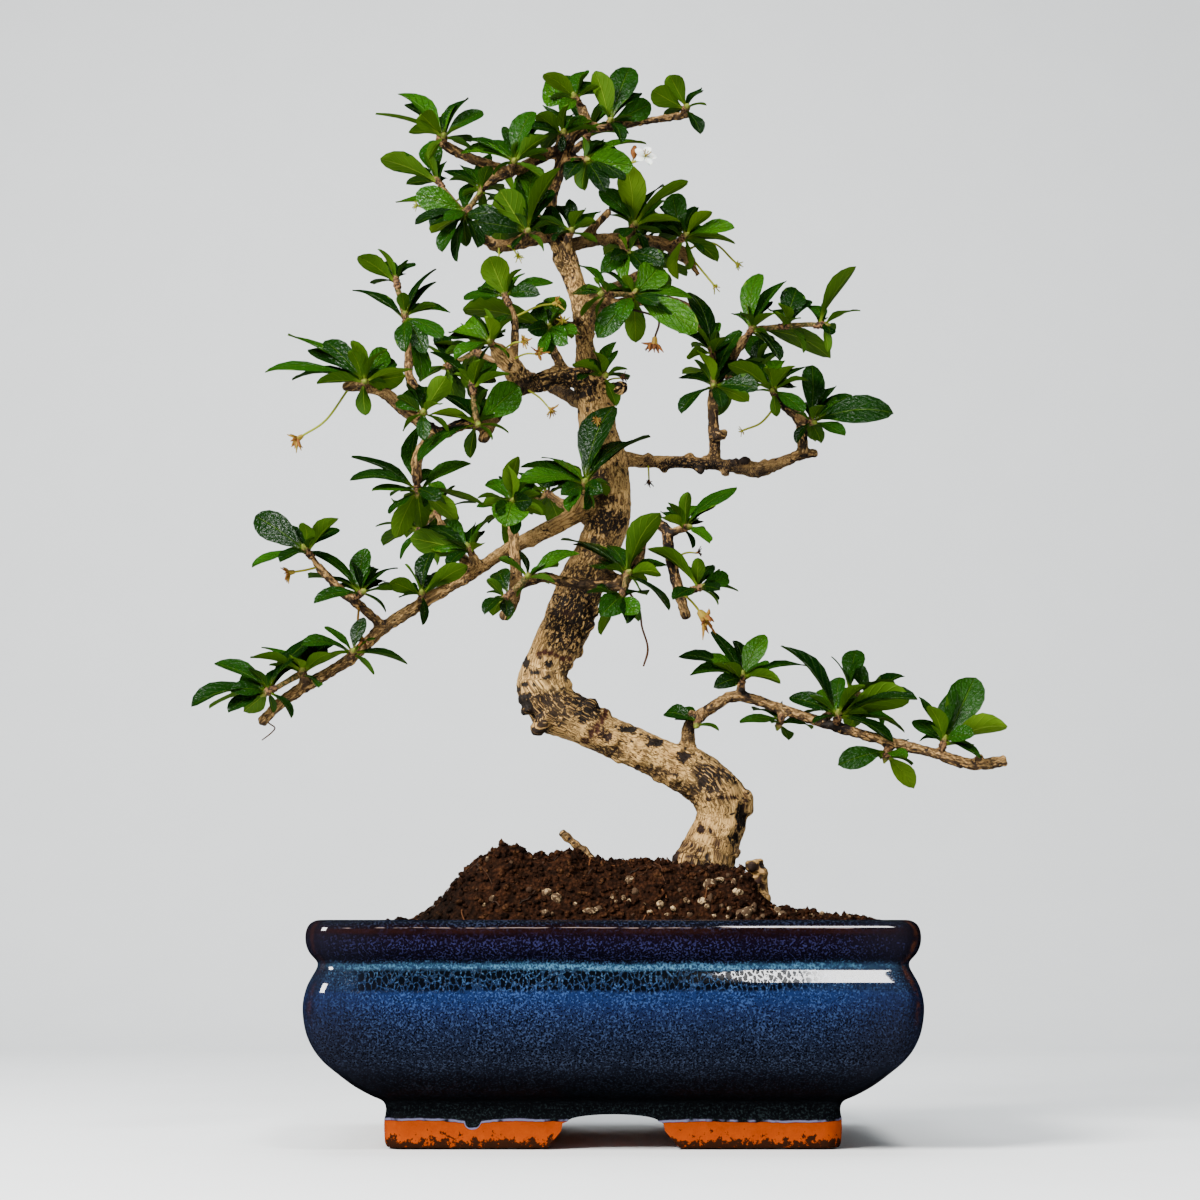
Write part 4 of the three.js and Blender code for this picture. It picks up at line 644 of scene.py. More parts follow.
class Paint:
    """A material with one shader, whose colour, roughness and relief are wired from procedural nodes."""

    def __init__(self, name, **constants):
        self.material = bpy.data.materials.new(name)
        self.material.use_nodes = True
        self.tree = self.material.node_tree
        self.shader = self.tree.nodes["Principled BSDF"]
        for key, value in constants.items():
            self.shader.inputs[key.replace("_", " ")].default_value = value
        spot = self.node("ShaderNodeTexCoord").outputs["Object"]
        self.place = self.node("ShaderNodeVectorMath", {"operation": "SCALE"}, {0: spot, "Scale": 1000.0})
        self.place = self.place.outputs[0]
        parts = self.node("ShaderNodeSeparateXYZ", {}, {0: self.place})
        self.x, self.y, self.z = (Value(self, s) for s in parts.outputs)

    def node(self, kind, settings=None, links=None):
        """Adds a node, sets its settings and links or fills its inputs."""
        made = self.tree.nodes.new(kind)
        for key, value in (settings or {}).items():
            setattr(made, key, value)
        for key, value in (links or {}).items():
            self.put(made.inputs[key], value)
        return made

    def put(self, target, value):
        """Links a socket or stores a number, vector or colour."""
        if isinstance(value, Value):
            value = value.socket
        if isinstance(value, bpy.types.NodeSocket):
            self.tree.links.new(value, target)
        elif isinstance(value, (tuple, list)) and target.type == "RGBA":
            target.default_value = (*value[:3], 1.0)
        else:
            target.default_value = value

    def math(self, operation, a, b=0.0, clamp=False):
        made = self.node("ShaderNodeMath", {"operation": operation, "use_clamp": clamp}, {0: a, 1: b})
        return Value(self, made.outputs[0])

    def marks(self):
        """The four marks of the mesh: three parts of the colour and the alpha."""
        made = self.node("ShaderNodeAttribute", {"attribute_name": "marks"})
        parts = self.node("ShaderNodeSeparateColor", {}, {0: made.outputs["Color"]})
        return [Value(self, s) for s in (*parts.outputs, made.outputs["Alpha"])]

    def stretched(self, x, y, z):
        """The place with each axis scaled."""
        return self.node("ShaderNodeVectorMath", {"operation": "MULTIPLY"},
                         {0: self.place, 1: (x, y, z)}).outputs[0]

    def noise(self, scale, detail=2.0, rough=0.5, vector=None, warp=0.0):
        made = self.node("ShaderNodeTexNoise", {}, {
            "Vector": vector or self.place, "Scale": scale, "Detail": detail, "Roughness": rough,
            "Distortion": warp})
        return Value(self, made.outputs["Fac"])

    def cells(self, scale, feature="F1", vector=None, output="Distance"):
        made = self.node("ShaderNodeTexVoronoi", {"feature": feature},
                         {"Vector": vector or self.place, "Scale": scale})
        return Value(self, made.outputs[output])

    def step(self, value, low, high):
        """0 below low, 1 above high and a smooth rise between."""
        made = self.node("ShaderNodeMapRange", {"interpolation_type": "SMOOTHSTEP"},
                         {"Value": value, "From Min": low, "From Max": high})
        return Value(self, made.outputs[0])

    def ramp(self, value, stops):
        """Colours along a value, given as (place, colour) stops."""
        made = self.node("ShaderNodeValToRGB", {}, {0: value})
        elements = made.color_ramp.elements
        while len(elements) < len(stops):
            elements.new(0.5)
        for element, (place, colour) in zip(elements, stops):
            element.position = place
            element.color = (*colour, 1.0)
        return made.outputs[0]

    def mix(self, share, a, b, blend="MIX"):
        made = self.node("ShaderNodeMix", {"data_type": "RGBA", "blend_type": blend, "clamp_factor": True})
        self.put(made.inputs[0], share)
        self.put(made.inputs[6], a)
        self.put(made.inputs[7], b)
        return made.outputs[2]

    def finish(self, colour, roughness=None, relief=None, height=0.3):
        """Wires the colour, the roughness and a bump of the given height in millimetres."""
        self.put(self.shader.inputs["Base Color"], colour)
        if roughness is not None:
            self.put(self.shader.inputs["Roughness"], roughness)
        if relief is not None:
            bump = self.node("ShaderNodeBump", {}, {"Height": relief, "Distance": height / 1000, "Strength": 1.0})
            self.put(self.shader.inputs["Normal"], bump.outputs[0])
        return self.material


def glaze_material():
    """Blue glaze whose colour runs down the pot in bands broken by fine worm-like specks, over bare
    clay feet with a pale line where the glaze ends. Its fall to near black towards the foot and its dark
    band at the neck groove are partly painted shade, its lighter ends are painted light, and the pale line
    on its lip is partly a painted highlight."""
    p = Paint("glaze", Coat_Roughness=0.03, IOR=1.5, Specular_IOR_Level=0.03)
    sag = p.noise(0.03, 2.0)
    height = p.z + (sag - 0.5) * 2.6 + (p.noise(0.3, 2.0) - 0.5) * 1.6
    fine = p.noise(1.6, 2.0, 0.6, p.stretched(1, 1, 0.8))
    other = p.noise(1.45, 2.0, 0.6, p.node("ShaderNodeVectorMath", {"operation": "ADD"}, {
        0: p.place, 1: (37.0, 11.0, 5.0)}).outputs[0])
    drift = p.noise(0.06, 3.0, 0.6)
    from_middle = p.x - float(SHIFT[0])
    ends = p.step(p.math("ABSOLUTE", from_middle), 62, 97)
    # Both ramps give the glaze's bands by height; their fall to near black below the belly and the dark band at the
    # neck groove are partly painted shade.
    ground = p.ramp(height / 75, [
        (0.0, (0.0023, 0.0032, 0.004)), (0.19, (0.002, 0.0026, 0.0036)), (0.22, (0.0013, 0.0014, 0.002)),
        (0.3, (0.0023, 0.0027, 0.0052)), (0.37, (0.0055, 0.0072, 0.0145)), (0.41, (0.0045, 0.006, 0.0125)),
        (0.5, (0.0046, 0.0068, 0.018)), (0.58, (0.0048, 0.0085, 0.0295)), (0.63, (0.005, 0.0105, 0.042)),
        (0.66, (0.0052, 0.0115, 0.046)), (0.68, (0.005, 0.0115, 0.033)), (0.755, (0.0055, 0.0125, 0.028)),
        (0.775, (0.0055, 0.015, 0.036)), (0.8, (0.0018, 0.0014, 0.0038)), (0.87, (0.0028, 0.0017, 0.0055)),
        (0.905, (0.0034, 0.0013, 0.0018)), (0.935, (0.0038, 0.0012, 0.0011)), (0.95, (0.002, 0.0023, 0.0045)),
        (1.0, (0.003, 0.0042, 0.009))])
    light = p.ramp(height / 75, [
        (0.0, (0.009, 0.0135, 0.0145)), (0.17, (0.01, 0.0155, 0.0175)), (0.2, (0.0027, 0.0036, 0.0048)),
        (0.3, (0.0085, 0.0115, 0.0195)), (0.37, (0.0215, 0.029, 0.055)), (0.41, (0.017, 0.024, 0.048)),
        (0.5, (0.0165, 0.0265, 0.062)), (0.58, (0.0165, 0.031, 0.083)), (0.63, (0.0175, 0.0385, 0.108)),
        (0.66, (0.019, 0.043, 0.12)), (0.755, (0.027, 0.068, 0.125)), (0.775, (0.034, 0.092, 0.16)),
        (0.8, (0.009, 0.0095, 0.03)), (0.86, (0.0145, 0.015, 0.053)), (0.91, (0.006, 0.0035, 0.01)),
        (1.0, (0.018, 0.028, 0.052))])
    blobs = p.cells(0.62, "DISTANCE_TO_EDGE", p.node("ShaderNodeVectorMath", {"operation": "ADD"}, {
        0: p.stretched(1, 1, 0.42), 1: p.node("ShaderNodeTexNoise", {}, {
            "Vector": p.place, "Scale": 0.9, "Detail": 2.0}).outputs["Color"]}).outputs[0])
    lace = p.step(blobs + (fine - 0.5) * 0.3, 0.035, 0.135)
    smooth_end = p.step(p.x + (sag - 0.5) * 24, 52, 72)
    band = p.step(height, 49.4, 51.0) * (1 - p.step(height, 56.2, 57.3)) * (1 - p.step(ends, 0.45, 0.8))
    band = band * (1 - 0.7 * smooth_end)
    pits = p.step(fine + (drift - 0.5) * 0.2 + ends * 0.03, 0.5, 0.58)
    colour = p.mix(pits * (0.86 - 0.3 * p.step(height, 40, 48)) * (1 - band), ground, (0.0009, 0.0011, 0.0022))
    dots = p.step(other + (drift - 0.5) * 0.16 - ends * 0.03, 0.52, 0.64)
    colour = p.mix(dots * (1 - 0.35 * ends) * (1 - band * lace), colour, light)
    colour = p.mix(band * lace * 0.96, colour, (0.0007, 0.0009, 0.0015))
    cyan = p.step(height, 56.4, 57.6) * (1 - p.step(height, 58.0, 59.2)) * (1 - 0.6 * ends)
    colour = p.mix(cyan * p.step(fine, 0.42, 0.66) * (0.2 + 0.6 * p.step(drift, 0.35, 0.6)),
                   colour, (0.055, 0.15, 0.23))
    # Both ends are lifted to a paler grey-blue: painted light that brightens the ends, mostly the right one, where
    # the lamps fall off.
    colour = p.mix(ends * 0.4, colour, (0.0085, 0.0085, 0.0135))
    edge_z = p.z + (drift - 0.5) * 0.7
    # A thin broken pale line on the lip: partly the glaze breaking over the bead, partly a painted highlight along
    # it.
    lip_line_and_highlight = p.step(edge_z, 69.8, 69.95) * (1 - p.step(edge_z, 70.0, 70.15)) * (1 - p.step(ends, 0.68, 0.8))
    colour = p.mix(lip_line_and_highlight * p.step(p.noise(0.11, 3.0, 0.7), 0.42, 0.56) * 0.55, colour, (0.26, 0.19, 0.17))
    thin = p.step(p.z, 67.6, 68.6) * (1 - p.step(p.z, 69.4, 69.8)) * p.step(drift, 0.3, 0.7)
    colour = p.mix(thin * 0.6, colour, (0.011, 0.0035, 0.0025))
    # The glaze runs thin over each upright edge, where both sides lie equally far in
    inward = p.math("ABSOLUTE", from_middle) - p.math("ABSOLUTE", p.y)
    ridge = p.math("ABSOLUTE", inward - EDGE_DIAGONAL + (p.noise(0.12, 2.0) - 0.5) * 5)
    upper = p.step(p.z, 37, 46) * p.step(p.math("ABSOLUTE", p.y), 52, 60)
    colour = p.mix((1 - p.step(ridge, 2, 6)) * upper * 0.55, colour, (0.0035, 0.0028, 0.0045))
    corner = (1 - p.step(ridge, 0.8, 2.2)) * upper
    corner = corner * p.step(p.noise(0.35, 3.0, 0.65), 0.38, 0.58) * (0.15 + 0.5 * p.step(p.x, -5, 5))
    colour = p.mix(corner, colour, (0.042, 0.0135, 0.006))
    # Bare clay: below a wavy edge outside, and all of the underside
    drip = p.noise(0.055, 1.0)
    edge = p.z + (drip - 0.5) * 2.6 + (p.noise(0.4, 1.0) - 0.5) * 0.5 + p.step(drip, 0.68, 0.72) * 2.0
    clay_share = 1 - p.step(edge, 8.15, 8.35)
    rim_line = p.step(edge, 8.25, 8.5) * (1 - p.step(edge, 8.8, 9.2))
    colour = p.mix(rim_line * 0.8 * p.step(p.noise(0.14, 3.0, 0.6), 0.38, 0.5), colour, (0.17, 0.16, 0.27))
    side_x = p.step(p.math("ABSOLUTE", from_middle), 64.4, 65.2)
    side_y = p.step(p.math("ABSOLUTE", p.y), 43.4, 44.2)
    under = (1 - p.math("MAXIMUM", side_x, side_y)) * (1 - p.step(p.z, 12.6, 13.0))
    clay_share = p.math("MAXIMUM", clay_share, under)
    grit = p.noise(0.35, 3.0, 0.6)
    clay = p.mix(grit, (0.2, 0.023, 0.0003), (0.33, 0.046, 0.0006))
    dirt = p.step(p.noise(0.42, 4.0, 0.75) + (3.9 - p.z) * 0.05, 0.55, 0.585)
    clay = p.mix(dirt * 0.95, clay, (0.006, 0.004, 0.002))
    colour = p.mix(clay_share, colour, clay)
    broken = p.step(band * lace, 0.3, 0.75)
    rough = 0.08 + 0.67 * clay_share + (1 - p.step(p.z, 17, 34)) * 0.5 * (1 - clay_share)
    p.put(p.shader.inputs["Coat Weight"], (p.step(p.z, 18, 46) * 0.55 * (1 - clay_share) + 0.02) * (1 - broken))
    relief = (1 - band * lace) * 0.55 * (1 - clay_share) + grit * clay_share + (1 - clay_share)
    return p.finish(colour, rough, relief, 0.25)


def bark_material():
    """Pale fissured bark: cream wood, brown cracks along the grain, black mottling and painted shade where
    the marks are dark, black specks all over and red-brown scars."""
    p = Paint("bark", IOR=1.4, Specular_IOR_Level=0.3)
    run, turn, red, dark = p.marks()
    grain = p.node("ShaderNodeCombineXYZ", {}, {0: run * 100.0 * 0.24, 1: turn * 100.0, 2: 0.0}).outputs[0]
    blotch = p.noise(0.11, 3.0, 0.6)
    limb = p.node("ShaderNodeAttribute", {"attribute_name": "limb"}).outputs["Fac"]
    limb = Value(p, limb)
    curled = p.node("ShaderNodeCombineXYZ", {}, {
        0: run * 100.0 * (0.6 - 0.25 * p.step(limb, 0.2, 0.9)), 1: turn * 100.0, 2: 0.0}).outputs[0]
    cream = p.mix(blotch, (0.3, 0.155, 0.042), (0.68, 0.43, 0.145))
    cream = p.mix(limb * 0.42, cream, (0.1, 0.045, 0.016))
    tint = p.noise(1.4, 3.0, 0.65, grain)
    cream = p.mix(p.step(tint, 0.48, 0.72) * 0.6, cream, (0.22, 0.1, 0.03))
    lines = p.math("ABSOLUTE", p.noise(1.05, 2.0, 0.6, grain, 0.5) - 0.5)
    cracks = (1 - p.step(lines, 0.0, 0.055)) * p.step(p.noise(0.17, 2.0), 0.32, 0.52)
    streaks = p.step(p.noise(2.1, 2.0, 0.6, grain), 0.53, 0.62) * p.step(p.noise(0.09, 2.0), 0.36, 0.52)
    colour = p.mix(streaks * 0.62, cream, (0.12, 0.05, 0.015))
    colour = p.mix(cracks * 0.85, colour, (0.035, 0.013, 0.004))
    worms = p.noise(1.25, 2.0, 0.6, curled, 0.6)
    # The dark mark, partly the bark's black patches and partly painted shade, strengthens the mottling, browns the
    # bark and past full darkness blacks it out.
    mottle = p.step(worms + dark * 0.145 + limb * 0.02 + (blotch - 0.5) * 0.2, 0.57, 0.605)
    colour = p.mix(mottle * (0.4 + 0.6 * dark), colour, (0.005, 0.003, 0.0018))
    specks = p.step(p.noise(0.38, 2.0, 0.5) + dark * 0.06, 0.655, 0.675)
    colour = p.mix(specks * 0.94, colour, (0.006, 0.004, 0.003))
    colour = p.mix(dark * 0.18, colour, (0.09, 0.042, 0.014))
    solid = p.step(dark + (worms - 0.5) * 1.1, 1.0, 1.12)
    colour = p.mix(solid * 0.88, colour, (0.006, 0.004, 0.0025))
    colour = p.mix(red * 0.9, colour, (0.04, 0.0085, 0.003))
    relief = (1 - cracks) * 0.5 + (1 - mottle * (0.3 + 0.7 * dark)) * 0.6 + tint * 0.3 - specks * 0.2
    return p.finish(colour, 0.75, relief, 0.9)


def soil_material():
    """Damp red-brown crumb in several browns, blackened where the mark says, with rough relief."""
    p = Paint("soil", IOR=1.4, Specular_IOR_Level=0.05)
    _, light, black, _ = p.marks()
    lumps = p.noise(0.45, 3.0, 0.65)
    grains = p.cells(0.75)
    colour = p.ramp(lumps * 0.7 + light * 0.3, [
        (0.2, (0.0022, 0.001, 0.0006)), (0.42, (0.009, 0.0034, 0.0015)), (0.58, (0.026, 0.009, 0.0035)),
        (0.75, (0.068, 0.029, 0.011))])
    colour = p.mix(p.step(grains, 0.35, 0.75) * 0.7, colour, (0.003, 0.0015, 0.0008))
    colour = p.mix(black * 0.8, colour, (0.0028, 0.0024, 0.002))
    return p.finish(colour, 0.9, lumps + (1 - grains), 0.9)


def grit_material():
    """Pale porous grit: cream to tan with dark pores and brown stains."""
    p = Paint("grit", IOR=1.4, Specular_IOR_Level=0.2)
    _, light, stain, _ = p.marks()
    pores = p.noise(0.8, 3.0, 0.7)
    colour = p.mix(light, (0.08, 0.038, 0.013), (0.4, 0.28, 0.145))
    colour = p.mix(p.step(pores + stain * 0.28, 0.53, 0.59) * 0.92, colour, (0.022, 0.009, 0.004))
    return p.finish(colour, 0.85, pores, 0.6)


def leaf_material(name, upper):
    """Leaf with a pale midrib, side veins and blotches: dark and glossy above, light and dull below."""
    if upper:
        p = Paint(name, Specular_IOR_Level=0.16, IOR=1.45)
    else:
        p = Paint(name, Specular_IOR_Level=0.12, IOR=1.4)
    along, across, tone_and_shade, seed = p.marks()
    half = p.math("ABSOLUTE", across - 0.5) * 2.0
    blotch = p.noise(0.16, 3.0, 0.6)
    pits = p.noise(0.75, 2.0, 0.6)
    rib = 1 - p.step(half + along * 0.02, 0.03, 0.08)
    stalk = 1 - p.step(along, 0.06, 0.24)
    wave = p.math("SINE", (along * 6.5 - half * 2.4 + seed) * 6.283)
    veins = p.step(wave, 0.72, 1.0) * (1 - p.step(half, 0.8, 1.0))
    # The tone mark is each leaf's own tone and, in its low values, painted shade.
    if upper:
        body = p.ramp(tone_and_shade + (blotch - 0.5) * 0.35, [
            (0.0, (0.001, 0.0065, 0.0008)), (0.3, (0.0022, 0.0145, 0.0009)), (0.62, (0.008, 0.043, 0.001)),
            (1.0, (0.03, 0.095, 0.001))])
        body = p.mix(veins * 0.2, body, (0.02, 0.065, 0.003))
        colour = p.mix(rib * 0.4, body, (0.055, 0.12, 0.006))
        colour = p.mix(stalk * 0.5, colour, (0.08, 0.13, 0.005))
        relief = (1 - rib) * 0.9 + (1 - veins) * 0.4 + pits * 0.9
        return p.finish(colour, 0.14 + 0.2 * pits, relief, 0.85)
    body = p.ramp(tone_and_shade + (blotch - 0.5) * 0.3, [
        (0.0, (0.006, 0.026, 0.0008)), (0.35, (0.018, 0.053, 0.0008)), (0.7, (0.04, 0.09, 0.0009)),
        (1.0, (0.1, 0.17, 0.0015))])
    # Darker towards the leaf's base: painted shade where the blade sits among the rosette's leaves.
    body = p.mix((1 - p.step(along, 0.2, 0.75)) * 0.35, body, (0.012, 0.04, 0.0008))
    body = p.mix(veins * 0.25, body, (0.08, 0.15, 0.004))
    colour = p.mix(rib * 0.55, body, (0.14, 0.23, 0.012))
    colour = p.mix(stalk * 0.5, colour, (0.16, 0.22, 0.012))
    return p.finish(colour, 0.55 + 0.1 * pits, rib * 1.0 + veins * 0.4 + pits * 0.3, 0.3)


def stem_material():
    """Shoot wood and buds: brown scaly bark that turns green where the mark says."""
    p = Paint("shoot_bark", IOR=1.4, Specular_IOR_Level=0.25)
    _, _, green, _ = p.marks()
    scales = p.noise(1.1, 3.0, 0.65)
    brown = p.mix(p.step(scales, 0.42, 0.62), (0.012, 0.006, 0.003), (0.17, 0.085, 0.032))
    colour = p.mix(green, brown, (0.13, 0.18, 0.012))
    return p.finish(colour, 0.75, scales, 0.6)


def dry_material():
    """Withered petals and stalks, tan to russet along the mark, green-yellow where it is low."""
    p = Paint("withered", IOR=1.4, Specular_IOR_Level=0.2)
    _, _, age, _ = p.marks()
    mottle = p.noise(0.9, 3.0, 0.6)
    colour = p.ramp(age + (mottle - 0.5) * 0.3, [
        (0.0, (0.15, 0.2, 0.01)), (0.3, (0.2, 0.145, 0.014)), (0.6, (0.15, 0.05, 0.01)),
        (0.82, (0.05, 0.018, 0.006)), (1.0, (0.012, 0.007, 0.004))])
    return p.finish(colour, 0.75, mottle, 0.3)


def petal_material():
    """White petals, faintly yellow towards the flower's middle, with fine lengthwise streaks."""
    p = Paint("petal", IOR=1.4, Subsurface_Weight=0.2, Subsurface_Scale=0.001)
    along, across, _, _ = p.marks()
    streak = p.math("SINE", across * 40.0)
    colour = p.mix(p.step(along, 0.0, 0.35), (0.72, 0.74, 0.42), (0.9, 0.9, 0.86))
    colour = p.mix((streak * 0.5 + 0.5) * 0.12, colour, (0.7, 0.7, 0.62))
    return p.finish(colour, 0.55, streak, 0.08)


def screen_material():
    """Dark moulded plastic with a fine grain."""
    p = Paint("screen_plastic", IOR=1.45)
    grain = p.noise(2.4, 3.0, 0.6)
    colour = p.mix(grain, (0.012, 0.013, 0.014), (0.032, 0.034, 0.036))
    return p.finish(colour, 0.5 + 0.15 * grain, grain, 0.1)


# Pot ---------------------------------------------------------------------------------------------


def rounded_ring(inset, corner_steps, side_steps):
    """Points round a rounded rectangle at an inset, evenly along its sides and corners, anticlockwise."""
    radius = max(POT_CORNER_LEAST, POT_CORNER - 0.5 * inset) if inset < 60 else 1.0
    half_x = max(POT_HALF_LENGTH - inset - radius, 0.2)
    half_y = max(POT_HALF_DEPTH - inset - radius, 0.2)
    ring = []
    corners = [(1, 1), (-1, 1), (-1, -1), (1, -1)]
    for quarter, (sx, sy) in enumerate(corners):
        angles = (quarter + np.linspace(0, 1, corner_steps + 1)) * math.pi / 2
        arc = np.column_stack([sx * half_x + radius * np.cos(angles), sy * half_y + radius * np.sin(angles)])
        nx, ny = corners[(quarter + 1) % 4]
        end = (quarter + 1) * math.pi / 2
        onward = np.array([nx * half_x + radius * math.cos(end), ny * half_y + radius * math.sin(end)])
        share = np.linspace(0, 1, side_steps + 1)[1:-1, None]
        ring.append(np.vstack([arc, arc[-1] + share * (onward - arc[-1])]))
    return np.vstack(ring)


def prism(outline, low, high, axis):
    """A closed prism: the outline stands in the plane across the axis and runs from low to high along it."""
    outline = np.asarray(outline, float)
    count = len(outline)
    ends = []
    for place in (low, high):
        run = np.full(count, place)
        if axis == "y":
            ends.append(np.column_stack([outline[:, 0], run, outline[:, 1]]))
        elif axis == "x":
            ends.append(np.column_stack([run, outline[:, 0], outline[:, 1]]))
        else:
            ends.append(np.column_stack([outline[:, 0], outline[:, 1], run]))
    cap = np.arange(count)
    return np.vstack(ends), [ring_faces(2, count), cap[::-1][None], (cap + count)[None]]


def cut_with(piece, cutter):
    """Subtracts one closed mesh from another and takes the cutter away."""
    for target in (piece, cutter):
        mesh = bmesh.new()
        mesh.from_mesh(target.data)
        bmesh.ops.recalc_face_normals(mesh, faces=mesh.faces)
        mesh.to_mesh(target.data)
        mesh.free()
    change = piece.modifiers.new("cut", "BOOLEAN")
    change.operation = "DIFFERENCE"
    change.solver = "EXACT"
    change.object = cutter
    bpy.context.view_layer.update()
    mesh = bpy.data.meshes.new_from_object(piece.evaluated_get(bpy.context.evaluated_depsgraph_get()))
    piece.modifiers.clear()
    piece.data = mesh
    bpy.data.objects.remove(cutter)


def make_pot(glaze):
    """The pot: profile points joined ring by ring round a rounded rectangle, with a slight hand-made
    wave, then cut by two arches and two drain holes."""
    outside = np.array([(inset, z, 0) for inset, z in POT_OUTSIDE[::-1]])
    outside, _ = smooth_path(outside, np.ones(len(outside)), 1.1)
    profile = POT_UNDERSIDE[::-1] + [(inset, z) for inset, z, _ in outside] + POT_INSIDE[::-1]
    rings = []
    for inset, z in profile:
        ring = rounded_ring(inset, 12, 18)
        points = np.column_stack([ring, np.full(len(ring), float(z))])
        wave = noise(points, 0.018, 3) * 0.35 + noise(points, 0.06, 4) * 0.12
        if inset < 30 and z > 8:
            out = unit(np.column_stack([ring, np.zeros(len(ring))]))
            points = points + out * wave[:, None]
        rings.append(points)
    around = len(rings[0])
    count = len(rings)
    cap = np.arange(around)
    pot = Build("pot_glazed")
    pot.add(np.vstack(rings), [ring_faces(count, around), cap[::-1][None], (cap + (count - 1) * around)[None]])
    piece = pot.make([glaze], 35)
    for axis, narrower in (("y", 0), ("x", SIDE_ARCH_NARROWER)):
        top, foot = ARCH_HALF_TOP - narrower, ARCH_HALF_FOOT - narrower
        arc = np.linspace(0, math.pi, 15)
        crown = np.column_stack([(top - 1.2) * np.cos(arc), ARCH_SPRING + ARCH_RISE * np.sin(arc)])
        left = [(-top - 0.4, ARCH_SPRING - 0.6), (-top - 0.9, 5.4), (-foot - 0.6, 0.4), (-foot - 1.4, -2)]
        curve = [(-x, z) for x, z in left[::-1]] + [tuple(spot) for spot in crown] + left
        cutter = Build("cutter")
        cutter.add(*prism(curve, -120, 120, axis))
        cut_with(piece, cutter.make([glaze]))
    for side in (-1, 1):
        angle = np.linspace(0, 2 * math.pi, 40, endpoint=False)
        hole = np.column_stack([side * DRAIN_OFFSET + DRAIN_RADIUS * np.cos(angle), DRAIN_RADIUS * np.sin(angle)])
        cutter = Build("cutter")
        cutter.add(*prism(hole, 8, 20, "z"))
        cut_with(piece, cutter.make([glaze]))
    piece.data.shade_smooth()
    piece.data.set_sharp_from_angle(angle=math.radians(35))
    return ride(piece, "glaze", "pot")


# Wood --------------------------------------------------------------------------------------------


def limb_path(rows):
    """Centres and radii of a table's rows of column, row, seen width and depth."""
    points = np.array([seen(c, r, d) for c, r, w, d in rows])
    radii = np.array([w * per_pixel(d) / 2 for c, r, w, d in rows])
    return points, radii


AXES = [limb_path(rows) for rows in [TRUNK] + LIMBS]


def nearest_wood(point):
    """Nearest place on the axes, its radius, and how far the bark reaches from there to the point."""
    best = None
    for points, radii in AXES:
        for k in range(len(points) - 1):
            span = points[k + 1] - points[k]
            share = min(1.0, max(0.0, float((point - points[k]).dot(span) / span.dot(span))))
            at = points[k] + share * span
            radius = radii[k] + share * (radii[k + 1] - radii[k])
            distance = np.linalg.norm(at - point) - radius
            if best is None or distance < best[0]:
                bark = radius
                if share == 1 and k == len(points) - 2:
                    cosine = float(unit(span).dot(unit(point - at)))
                    bark = radius * math.sqrt(max(0.0, 1 - cosine ** 2))
                best = (distance, at, radius, bark)
    return best[1:]


def grow_buds(rows):
    """Buds of a shoot: the first seated off the bark, later ones where they are seen."""
    buds = []
    for column, row, depth, leaves in rows:
        wanted = seen(column, row, depth)
        if buds:
            buds.append({"at": wanted, "axis": unit(wanted - buds[-1]["at"]), "rows": leaves})
            continue
        foot, radius, bark = nearest_wood(wanted)
        away = wanted - foot
        length = np.linalg.norm(away)
        least = bark + BUD_HALF_LENGTH + GAP
        reach = least if length < least + SHORTEST_SPUR else length
        axis = away / length
        buds.append({"at": foot + axis * reach, "axis": axis, "rows": leaves, "foot": foot, "radius": radius,
                     "reach": reach})
    return buds


def along_axes(points):
    """For each point: millimetres along the nearest axis, millimetres round it and its radius.
    The angle is taken about the axis in the frame carried along that axis, and is zero in front."""
    best = np.full(len(points), 1e9)
    result = np.zeros((len(points), 3))
    start = 0.0
    for path_points, path_radii in AXES:
        path, radii = smooth_path(path_points, path_radii, 6)
        _, normal, across = frames_along(path)
        lengths = np.concatenate([[0], np.cumsum(np.linalg.norm(np.diff(path, axis=0), axis=1))])
        for k in range(len(path) - 1):
            span = path[k + 1] - path[k]
            size = span.dot(span)
            share = np.clip((points - path[k]) @ span / size, 0, 1)
            at = path[k] + share[:, None] * span
            radius = radii[k] + share * (radii[k + 1] - radii[k])
            distance = np.linalg.norm(points - at, axis=1) - radius
            near = distance < best
            best = np.where(near, distance, best)
            off = (points - at)[near]
            angle = np.arctan2(off @ across[k], -(off @ normal[k]))
            result[near, 0] = start + lengths[k] + share[near] * math.sqrt(size)
            result[near, 1] = angle * radius[near]
            result[near, 2] = radius[near]
        start += lengths[-1] + 17
    return result


# Size of the grid that melts the wood into one skin, millimetres
WOOD_VOXEL = 0.745

# Knobs of bark: picture column and row, depth, radius in millimetres
BARK_KNOBS = [
    (527, 710, -11, 2.2), (524, 700, -11, 2.2), (604, 716, -7, 3.2), (743, 798, -2, 3.8), (744, 808, -1, 3.6),
    (575, 640, -9, 2.6), (588, 626, -7, 2.4), (549, 640, -9, 2.4), (600, 440, -2, 3.0), (592, 478, -1, 2.6),
    (622, 500, -2, 2.4), (560, 262, -2, 2.2), (692, 716, -10, 2.2), (580, 734, -9, 2.2), (590, 706, -9, 2.6),
    (690, 864, -8, 5.2), (648, 456, 8, 1.5), (664, 470, 11, 1.5), (690, 456, 12, 1.6), (746, 462, 17, 1.8),
    (725, 473, 16, 1.6), (724, 432, 8, 1.3), (700, 471, 13, 1.4), (752, 866, 0, 3.0), (763, 872, 0, 2.4),
    (755, 884, 0, 2.5), (762, 899, 0, 2.8), (750, 912, 1, 3.2),
]
